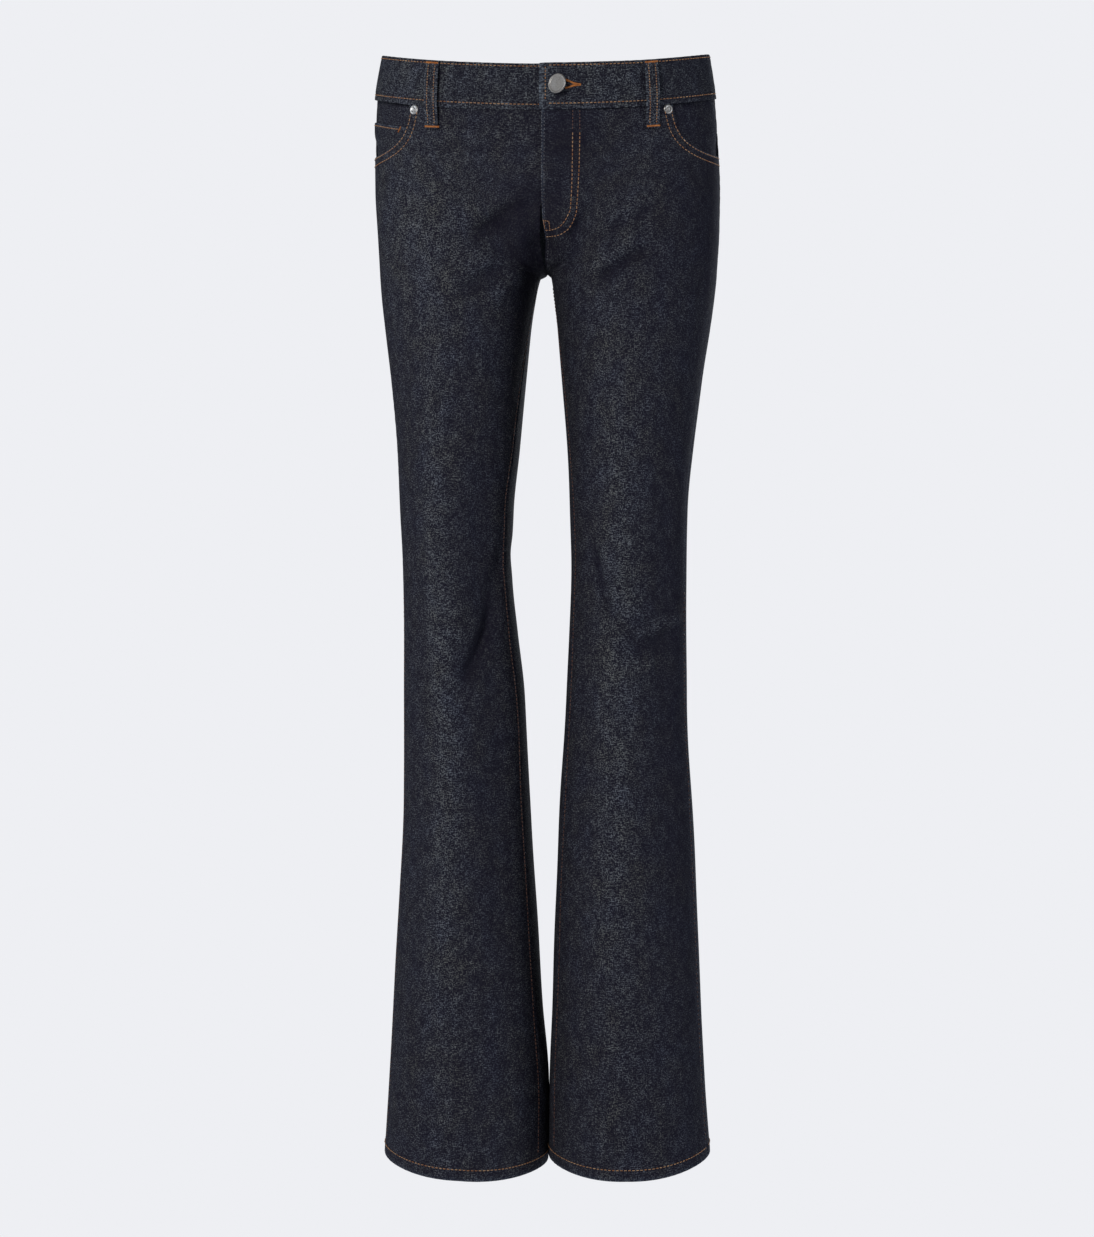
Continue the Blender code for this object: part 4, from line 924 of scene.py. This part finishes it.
def stitchPoints(points, normals, colour="copper", length=thread["length"], gap=thread["gap"],
                 radius=thread["radius"], phase=0.0):  # one row of stitches along a line of points on the cloth
    run = np.concatenate([[0], np.cumsum(np.linalg.norm(np.diff(points, axis=0), axis=1))])
    count = int((run[-1] - phase) / (length + gap))
    if count < 1:
        return
    starts = phase + (length + gap) * np.arange(count)
    places = starts[:, None] + np.array([0.0, 0.16, 0.84, 1.0]) * length

    def at(values, s):
        return np.stack([np.interp(s, run, values[:, k]) for k in range(3)], -1)

    centre, up = at(points, places), at(normals, places)
    up = up / np.linalg.norm(up, axis=-1, keepdims=True)
    ahead = at(points, places + 0.0006) - at(points, places - 0.0006)
    ahead = ahead / np.maximum(np.linalg.norm(ahead, axis=-1, keepdims=True), 1e-9)
    beside = np.cross(up, ahead)
    centre = centre + up * (np.array([-0.55, 0.55, 0.55, -0.55]) * radius)[None, :, None]
    stitchWork[colour].append((centre, up, beside, radius))


def sewLine(side, half, across, z, out, colour="copper", **settings):
    points = cloth(side, half, across, z, out)
    stitchPoints(points, outward(side, half, across, z), colour, **settings)


def sewOnPanel(side, half, runs, drops, reference="centre", extra=0.0, **settings):  # through (distance, drop) places
    runs, drops = np.asarray(runs, float), np.asarray(drops, float)
    chord = np.concatenate([[0], np.cumsum(np.hypot(np.diff(runs), np.diff(drops)))])
    s = np.linspace(0, chord[-1], max(3, int(chord[-1] / 0.0012)))
    run, drop = np.interp(s, chord, runs), np.interp(s, chord, drops)
    z = form["bandBottom"] - drop
    across = shareAt(side, half, z, run, reference)
    sewLine(side, half, across, z, flyLift(side, half, across, z) + extra, **settings)


def rounded(points, steps=24):  # a soft curve through a few places
    points = np.array(points, float)
    ends = np.concatenate([[2 * points[0] - points[1]], points, [2 * points[-1] - points[-2]]])
    line = []
    for a, b, c, d in zip(ends, ends[1:], ends[2:], ends[3:]):
        t = np.linspace(0, 1, steps, endpoint=False)[:, None]
        line.append(0.5 * (2 * b + (c - a) * t + (2 * a - 5 * b + 4 * c - d) * t**2 + (3 * b - a - 3 * c + d) * t**3))
    return np.concatenate([*line, points[-1:]])


def makeThread(name, colour, finish):  # each stitch is a six-sided tube, closed to a point at both ends
    centres, up, beside = (np.concatenate([work[k] for work in stitchWork[colour]]) for k in range(3))
    radius = np.concatenate([np.full(len(work[0]), work[3]) for work in stitchWork[colour]])
    count = len(centres)
    angles = np.linspace(0, 2 * math.pi, 6, endpoint=False)
    points = np.empty((count, 14, 3))
    points[:, 0], points[:, 13] = centres[:, 0], centres[:, 3]
    for ring, k in ((1, 1), (7, 2)):
        for j, angle in enumerate(angles):
            spoke = math.cos(angle) * beside[:, k] + math.sin(angle) * up[:, k]
            points[:, ring + j] = centres[:, k] + radius[:, None] * spoke
    pattern = [(0, 1 + (j + 1) % 6, 1 + j) for j in range(6)] + [(13, 7 + j, 7 + (j + 1) % 6) for j in range(6)]
    sides = [(1 + j, 1 + (j + 1) % 6, 7 + (j + 1) % 6, 7 + j) for j in range(6)]
    faces = [tuple(int(i) + 14 * n for i in face) for n in range(count) for face in pattern + sides]
    mesh = bpy.data.meshes.new(name)
    mesh.from_pydata(points.reshape(-1, 3).tolist(), [], faces)
    mesh.materials.append(finish)
    turnOutward(mesh)
    mesh.shade_smooth()
    made = bpy.data.objects.new(name, mesh)
    bpy.context.scene.collection.objects.link(made)
    addPiece(made, "denim")
    print(name, count, "stitches")


def barTack(points, normals, width, pitch=0.00050, radius=0.00032):  # a dense bar of short stitches across a line
    run = np.concatenate([[0], np.cumsum(np.linalg.norm(np.diff(points, axis=0), axis=1))])
    steps = np.linspace(0, run[-1], max(2, int(run[-1] / pitch)))
    centre = np.stack([np.interp(steps, run, points[:, k]) for k in range(3)], -1)
    up = np.stack([np.interp(steps, run, normals[:, k]) for k in range(3)], -1)
    up = up / np.linalg.norm(up, axis=-1, keepdims=True)
    ahead = np.gradient(centre, axis=0)
    ahead = ahead / np.linalg.norm(ahead, axis=-1, keepdims=True)
    beside = np.cross(up, ahead)
    jitter = 0.08 * np.sin(np.arange(len(steps)) * 2.4)[:, None]
    offsets = np.array([-0.5, -0.34, 0.34, 0.5]) * width
    lifts = np.array([-0.4, 0.75, 0.75, -0.4]) * radius
    middle = centre[:, None, :] + beside[:, None, :] * (offsets[None, :] * (1 + jitter))[..., None]
    middle = middle + up[:, None, :] * lifts[None, :, None]
    up, ahead = (np.repeat(way[:, None, :], 4, 1) for way in (up, ahead))
    stitchWork["orange"].append((middle, up, ahead, radius))


def tackOnLoop(row, drop, reach=1.0, shift=0.0):
    across = np.linspace(-0.92 * reach, 0.92 * reach, 12) + shift
    side, half, share, z = loopPlace(row, across, np.full(12, drop))
    points = cloth(side, half, share, z, loopStand(drop, 40) + loop["thickness"] + 0.0002)
    barTack(points, outward(side, half, share, z), 0.0020)


def bandRow(drop):
    stations = [row for row in bandStations() if row[:2] != (leftSide, "front") or row[3] >= 0]
    z = form["bandTop"] - drop
    low = band["proud"] - 0.00022
    points = np.array([cloth(side, half, share, z, lift + low) for side, half, share, lift in stations])
    normals = np.array([outward(side, half, share, z) for side, half, share, _ in stations])
    keep = np.concatenate([[True], np.linalg.norm(np.diff(points, axis=0), axis=1) > 1e-6])
    points, normals = points[keep], normals[keep]
    fromEnd = np.concatenate([[0], np.cumsum(np.linalg.norm(np.diff(points[::-1], axis=0), axis=1))])[::-1]
    inside = fromEnd > sewing["fromLapEnd"]
    stitchPoints(points[inside], normals[inside])


sewing = {  # distances from the seam that each row follows, beginnings and ends, in metres
    "fromLapEnd": 0.0026, "mouthRows": (0.0022, 0.0092), "yokeRows": (0.0030, 0.0085), "seatTo": 0.150,
    "pocketRows": (0.0025, 0.0085), "inseam": 0.0030, "sideSeam": 0.0026, "sideFrom": -0.500, "inseamFrom": -0.205,
    "legTo": form["hem"] + 0.013, "hem": form["hem"] + 0.0100,
}
flyRows = {  # distance from the fly's edge and drop below the waistband
    "inner": [(0.0300, 0.0016), (0.0300, 0.047), (0.0296, 0.112), (0.0274, 0.126), (0.0194, 0.1383), (0.0083, 0.1466),
              (0.0006, 0.1488)],
    "outer": [(0.0366, 0.0018), (0.0367, 0.047), (0.0357, 0.1145), (0.0333, 0.1295), (0.0256, 0.1410), (0.0086, 0.1524),
              (0.0009, 0.1552)],
    "box": [(0.0006, 0.1372), (0.0084, 0.1372), (0.0084, 0.1462)], "brownTo": 0.024,
}
buttonhole = {"upper": [(0.0225, -0.0258), (0.0262, -0.0243), (0.0310, -0.0222), (0.0372, -0.0209)],
              "lower": [(0.0232, -0.0180), (0.0268, -0.0190), (0.0310, -0.0202), (0.0372, -0.0207)], "width": 0.0022}
close = {"extra": 0.0001, "length": 0.0016, "gap": 0.0003}  # rows that look like one thick thread

for drop in band["stitchRows"]:
    bandRow(drop)
z = form["bandTop"] - np.linspace(0.0045, 0.0370, 24)
share = np.full(24, sewing["fromLapEnd"] / form["panelWidth"])
sewLine(leftSide, "front", share, z, band["proud"] + band["lapLift"] - 0.0001, length=0.0020, gap=0.0012)

for side, who in bothSides:
    for grow in sewing["mouthRows"]:
        line = scoop(40, grow)
        line = line[line[:, 1] > 0.006]
        sewOnPanel(side, "front", line[:, 0], line[:, 1], "side")
runs, drops = (np.linspace(*coinPocket[ends], 30) for ends in ("stitchRun", "stitchDrop"))
share = shareAt(rightSide, "front", form["bandBottom"] - drops[::-1], runs, "side")
sewLine(rightSide, "front", share, form["bandBottom"] - drops, facingLift(rightSide, runs, drops) + 0.0016)

for points in (flyRows["inner"], flyRows["outer"]):
    line = rounded(points)
    top = line[:, 1] < flyRows["brownTo"]
    sewOnPanel(leftSide, "front", line[top, 0], line[top, 1], colour="brown", length=0.0022, gap=0.0010)
    sewOnPanel(leftSide, "front", line[~top, 0], line[~top, 1])
sewOnPanel(leftSide, "front", *zip(*flyRows["box"]), **close)
sewOnPanel(leftSide, "front", [0.0010, 0.0010], [0.003, 0.150], colour="pale", length=0.0014, gap=0.0018,
           radius=0.00034)
sewOnPanel(leftSide, "front", [0.0034, 0.0034], [0.003, 0.166], colour="pale", length=0.0016, gap=0.0020,
           radius=0.00034, phase=0.0012)
sewOnPanel(leftSide, "front", [0.0016, 0.0016], [0.138, 0.148], **close)

for inset in sewing["yokeRows"]:
    sewOnPanel(leftSide, "back", [inset, inset], [0.006, sewing["seatTo"]])
    for side, who in bothSides:
        runs = np.linspace(0.010, 0.208, 30)
        shares = shareAt(side, "back", np.full(30, -0.07), runs)
        sewLine(side, "back", shares, yokeLine(shares, -inset), 0.0)
for side, who in bothSides:
    onPocket = backPocket["gap"] + form["cloth"]
    steps = np.linspace(0, 1, 40, endpoint=False)
    for inset in sewing["pocketRows"]:
        corners = [(0, 0), (0, 1), (0.5, 1), (1, 1), (1, 0)]
        line = np.array([backPocketPlaces(u0 + (u1 - u0) * k, t0 + (t1 - t0) * k, inset)
                         for (u0, t0), (u1, t1) in zip(corners, corners[1:]) for k in steps])
        sewOnPanel(side, "back", line[:, 0], line[:, 1], "side", extra=onPocket - 0.00005)
    topRow = backPocket["topRow"] / backPocket["side"]
    line = np.array([backPocketPlaces(u, topRow) for u in np.linspace(0.02, 0.98, 40)])
    sewOnPanel(side, "back", line[:, 0], line[:, 1], "side", extra=onPocket + 0.0001)

for side, who in bothSides:
    z = np.linspace(sewing["inseamFrom"], sewing["legTo"], 620)
    sewLine(side, "front", sewing["inseam"] / widthAt(side, "front", z), z, 0.0, "brown")
    z = np.linspace(sewing["sideFrom"], sewing["legTo"], 500)
    share = 1 - sewing["sideSeam"] / widthAt(side, "front", z)
    sewLine(side, "front", share, z, 0.0, "brown", length=0.0022, gap=0.0022)
    for half in ("front", "back"):
        share = np.linspace(0.004, 0.996, 140)
        sewLine(side, half, share, np.full(140, sewing["hem"]), 0.0002)

for row in loops:
    for across in (-0.50, 0.50):
        drop = np.linspace(-0.0385, loop["below"] - 0.0015, 50)
        side, half, share, z = loopPlace(row, np.full(50, across), drop)
        sewLine(side, half, share, z, loopStand(drop, 44) + loop["thickness"] - 0.0001, length=0.0019, gap=0.0008)
    tackOnLoop(row, -0.0385)
    reach, shift = (1.2, -0.2) if row[0] == "front_right" else (1.0, 0.0)
    tackOnLoop(row, loop["below"] - 0.0012, reach, shift)

runs = np.linspace(0.0755, 0.0715, 6)  # the bar tack at the coin pocket's corner
share = shareAt(rightSide, "front", np.full(6, form["bandBottom"] - 0.026), runs, "side")
z = form["bandBottom"] - np.linspace(0.0235, 0.0290, 6)
barTack(cloth(rightSide, "front", share, z, facingLift(rightSide, runs, 0.026) + 0.0018),
        outward(rightSide, "front", share, z), 0.0016)

for line in (rounded(buttonhole["upper"]), rounded(buttonhole["lower"])):
    z = form["bandBottom"] - line[:, 1]
    share = shareAt(leftSide, "front", z, line[:, 0])
    points = cloth(leftSide, "front", share, z, band["proud"] + band["lapLift"] + 0.0002)
    barTack(points, outward(leftSide, "front", share, z), buttonhole["width"], radius=0.00030)

threads = {"copper": copperThread, "orange": orangeThread, "brown": brownThread, "pale": paleThread}
for colour, finish in threads.items():
    makeThread(colour + "Stitching", colour, finish)
print("stitches made")

button = {  # each step raises the top face and scales it, or insets it and moves it
    "fromCentre": 0.0163, "drop": -0.0208, "base": 0.0094 * 0.86, "plate": 0.0008, "neck": 0.0043, "turn": -31,
    "head": [("raise", 0.0006, 1.163), ("raise", 0.0010, 1), ("raise", 0.0007, 0.95), ("inset", 0.0009, 0),
             ("inset", 0.0005, -0.0005), ("inset", 0.0030, 0.0002), ("inset", 0.0030, 0.0001)],
    "shankRadius": 0.0026, "shank": [("inset", 0.0006, 0), ("raise", 0.0004, 1)],
}
rivet = {
    "insideMouth": 0.0055, "drop": 0.0052, "radius": 0.0047, "plate": 0.0005,
    "head": [("raise", 0.0006, 0.86), ("inset", 0.0047 * 0.20, 0.00015), ("inset", 0.0047 * 0.22, -0.0005),
             ("inset", 0.0047 * 0.08, 0), ("raise", 0.0007, 0.75)],
}


def clearSelection():
    bpy.ops.object.select_all(action="DESELECT")


def selectTop(piece):  # the flat face at the top of a disc in edit mode
    work = bmesh.from_edit_mesh(piece.data)
    for face in work.faces:
        middle = face.calc_center_median()
        face.select = face.normal.z > 0.9 and middle.z > 0 and middle.xy.length < 1e-4
    work.select_flush_mode()
    bmesh.update_edit_mesh(piece.data)


def turnedPiece(name, radius, depth, sides, steps, bevel):  # a disc whose top face is raised and inset step by step
    clearSelection()
    bpy.ops.mesh.primitive_cylinder_add(vertices=sides, radius=radius, depth=depth, location=(0, 0, depth / 2))
    made = bpy.context.object
    made.name = name
    bpy.ops.object.mode_set(mode="EDIT")
    bpy.ops.mesh.select_mode(type="FACE")
    selectTop(made)
    for kind, size, change in steps:
        if kind == "raise":
            bpy.ops.mesh.extrude_region_move(TRANSFORM_OT_translate={"value": (0, 0, size)})
            bpy.ops.transform.resize(value=(change, change, 1))
        else:
            bpy.ops.mesh.inset(thickness=size)
            bpy.ops.transform.translate(value=(0, 0, change))
    bpy.ops.object.mode_set(mode="OBJECT")
    edges = made.modifiers.new("edges", "BEVEL")
    edges.width, edges.segments, edges.limit_method, edges.angle_limit = bevel, 3, "ANGLE", math.radians(30)
    bpy.ops.object.modifier_apply(modifier=edges.name)
    bpy.ops.object.shade_smooth_by_angle(angle=math.radians(35))
    return made


def seatOn(made, point, normal, finish, turn=0.0):  # stands the piece on its place and settles that into its mesh
    facing = Vector(normal).to_track_quat("Z", "Y").to_matrix().to_4x4()
    made.matrix_world = Matrix.Translation(Vector(point)) @ Matrix.Rotation(math.radians(turn), 4, "Z") @ facing
    clearSelection()
    made.select_set(True)
    bpy.context.view_layer.objects.active = made
    bpy.ops.object.transform_apply(location=True, rotation=True, scale=True)
    made.data.materials.append(finish)


z = form["bandBottom"] - button["drop"]
share = shareAt(leftSide, "front", z, button["fromCentre"])
normal = outward(leftSide, "front", share, z)
seat = cloth(leftSide, "front", share, z, band["proud"] + band["lapLift"])
head = turnedPiece("buttonHead", button["base"], button["plate"], 48, button["head"], 0.00022)
seatOn(head, seat + normal * (button["neck"] - 0.0002), normal, pewter, button["turn"])
addPiece(head, "pewter_metal", "button")
shankDepth = button["neck"] + band["thickness"] + 0.0010
shank = turnedPiece("buttonShank", button["shankRadius"], shankDepth, 32, button["shank"], 0.0002)
seatOn(shank, seat - normal * (band["thickness"] + 0.0002), normal, pewter)
addPiece(shank, "pewter_metal")
z = form["bandBottom"] - rivet["drop"]
for side, who in bothSides:
    share = shareAt(side, "front", z, pocketMouth["mouth"] + rivet["insideMouth"], "side")
    # the rivet on the wearer's right, where the key light falls, is given the paler copy: painted highlight
    made = turnedPiece("rivetHead_" + who, rivet["radius"], rivet["plate"], 40, rivet["head"], 0.00012)
    seatOn(made, cloth(side, "front", share, z, 0.0001), outward(side, "front", share, z),
           paintedHighlightMetal if side == rightSide else pewter)
    addPiece(made, "pewter_metal", "rivet_" + who)
print("button and rivets made")

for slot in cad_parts["button_tack"].material_slots:  # the tack behind the button stays as CAD made it
    slot.material = pewter

studio = {
    "paper": (0.855, 0.863, 0.896), "fill": 0.10, "fillColour": (0.95, 0.97, 1.0), "floor": -1.35, "aim": (0, 0, -0.5),
    "cameraTurn": 3.5, "cameraAway": 2.6, "cameraHeight": -0.525, "lens": 78.0,
}
lights = {
    "key": {"at": (-1.15, -2.70, 0.50), "size": (0.8, 1.4), "power": 45, "colour": (1, 0.97, 0.94)},
    "left": {"at": (-2.60, -0.40, 0.00), "size": (1.2, 2.6), "power": 16, "colour": (0.88, 0.93, 1)},
    "right": {"at": (2.50, -0.70, 0.00), "size": (1.0, 2.6), "power": 22, "colour": (0.88, 0.93, 1)},
    "back": {"at": (0.90, 2.90, 0.40), "size": (1.4, 2.2), "power": 46, "colour": (0.88, 0.93, 1)},
}


def cameraSees(tree, kind, lit, output):  # the camera sees even paper, and everything else gets the lit shading
    path, mix, seen = (node(tree, "ShaderNode" + each) for each in ("LightPath", "MixShader", kind))
    seen.inputs["Color"].default_value = (*studio["paper"], 1)
    for k, way in enumerate((path.outputs["Is Camera Ray"], lit.outputs[0], seen.outputs[0])):
        tree.links.new(way, mix.inputs[k])
    tree.links.new(mix.outputs[0], tree.nodes[output].inputs["Surface"])


clearSelection()
bpy.ops.mesh.primitive_plane_add(size=24, location=(0, 0, studio["floor"]))
floor = bpy.context.object
floor.name = "floor"
paper, tree, shader = newFinish("palePaper")
shader.inputs["Base Color"].default_value = (*studio["paper"], 1)
shader.inputs["Roughness"].default_value = 0.9
cameraSees(tree, "Emission", shader, "Material Output")
floor.data.materials.append(paper)

world = bpy.data.worlds.new("studio")
world.use_nodes = True
bpy.context.scene.world = world
air = world.node_tree.nodes["Background"]
air.inputs["Color"].default_value = (*studio["fillColour"], 1)
air.inputs["Strength"].default_value = studio["fill"]
cameraSees(world.node_tree, "Background", air, "World Output")


def softLight(name, settings):
    data = bpy.data.lights.new(name, "AREA")
    data.shape, data.size, data.size_y = "RECTANGLE", *settings["size"]
    data.energy, data.color = settings["power"], settings["colour"]
    made = bpy.data.objects.new(name, data)
    made.location = settings["at"]
    aim = Vector(studio["aim"]) - Vector(settings["at"])
    made.rotation_euler = aim.to_track_quat("-Z", "Y").to_euler()
    bpy.context.scene.collection.objects.link(made)


for name, settings in lights.items():
    softLight(name + "Light", settings)

camera = bpy.data.cameras.new("camera")
camera.lens = studio["lens"]
view = bpy.data.objects.new("camera", camera)
turn = math.radians(studio["cameraTurn"])
view.location = (studio["cameraAway"] * math.sin(turn), -studio["cameraAway"] * math.cos(turn), studio["cameraHeight"])
view.rotation_euler = (math.pi / 2, 0, turn)
bpy.context.scene.collection.objects.link(view)
bpy.context.scene.camera = view
bpy.context.scene.view_settings.view_transform = "Standard"
bpy.context.scene.view_settings.look = "None"

print("scene ready")
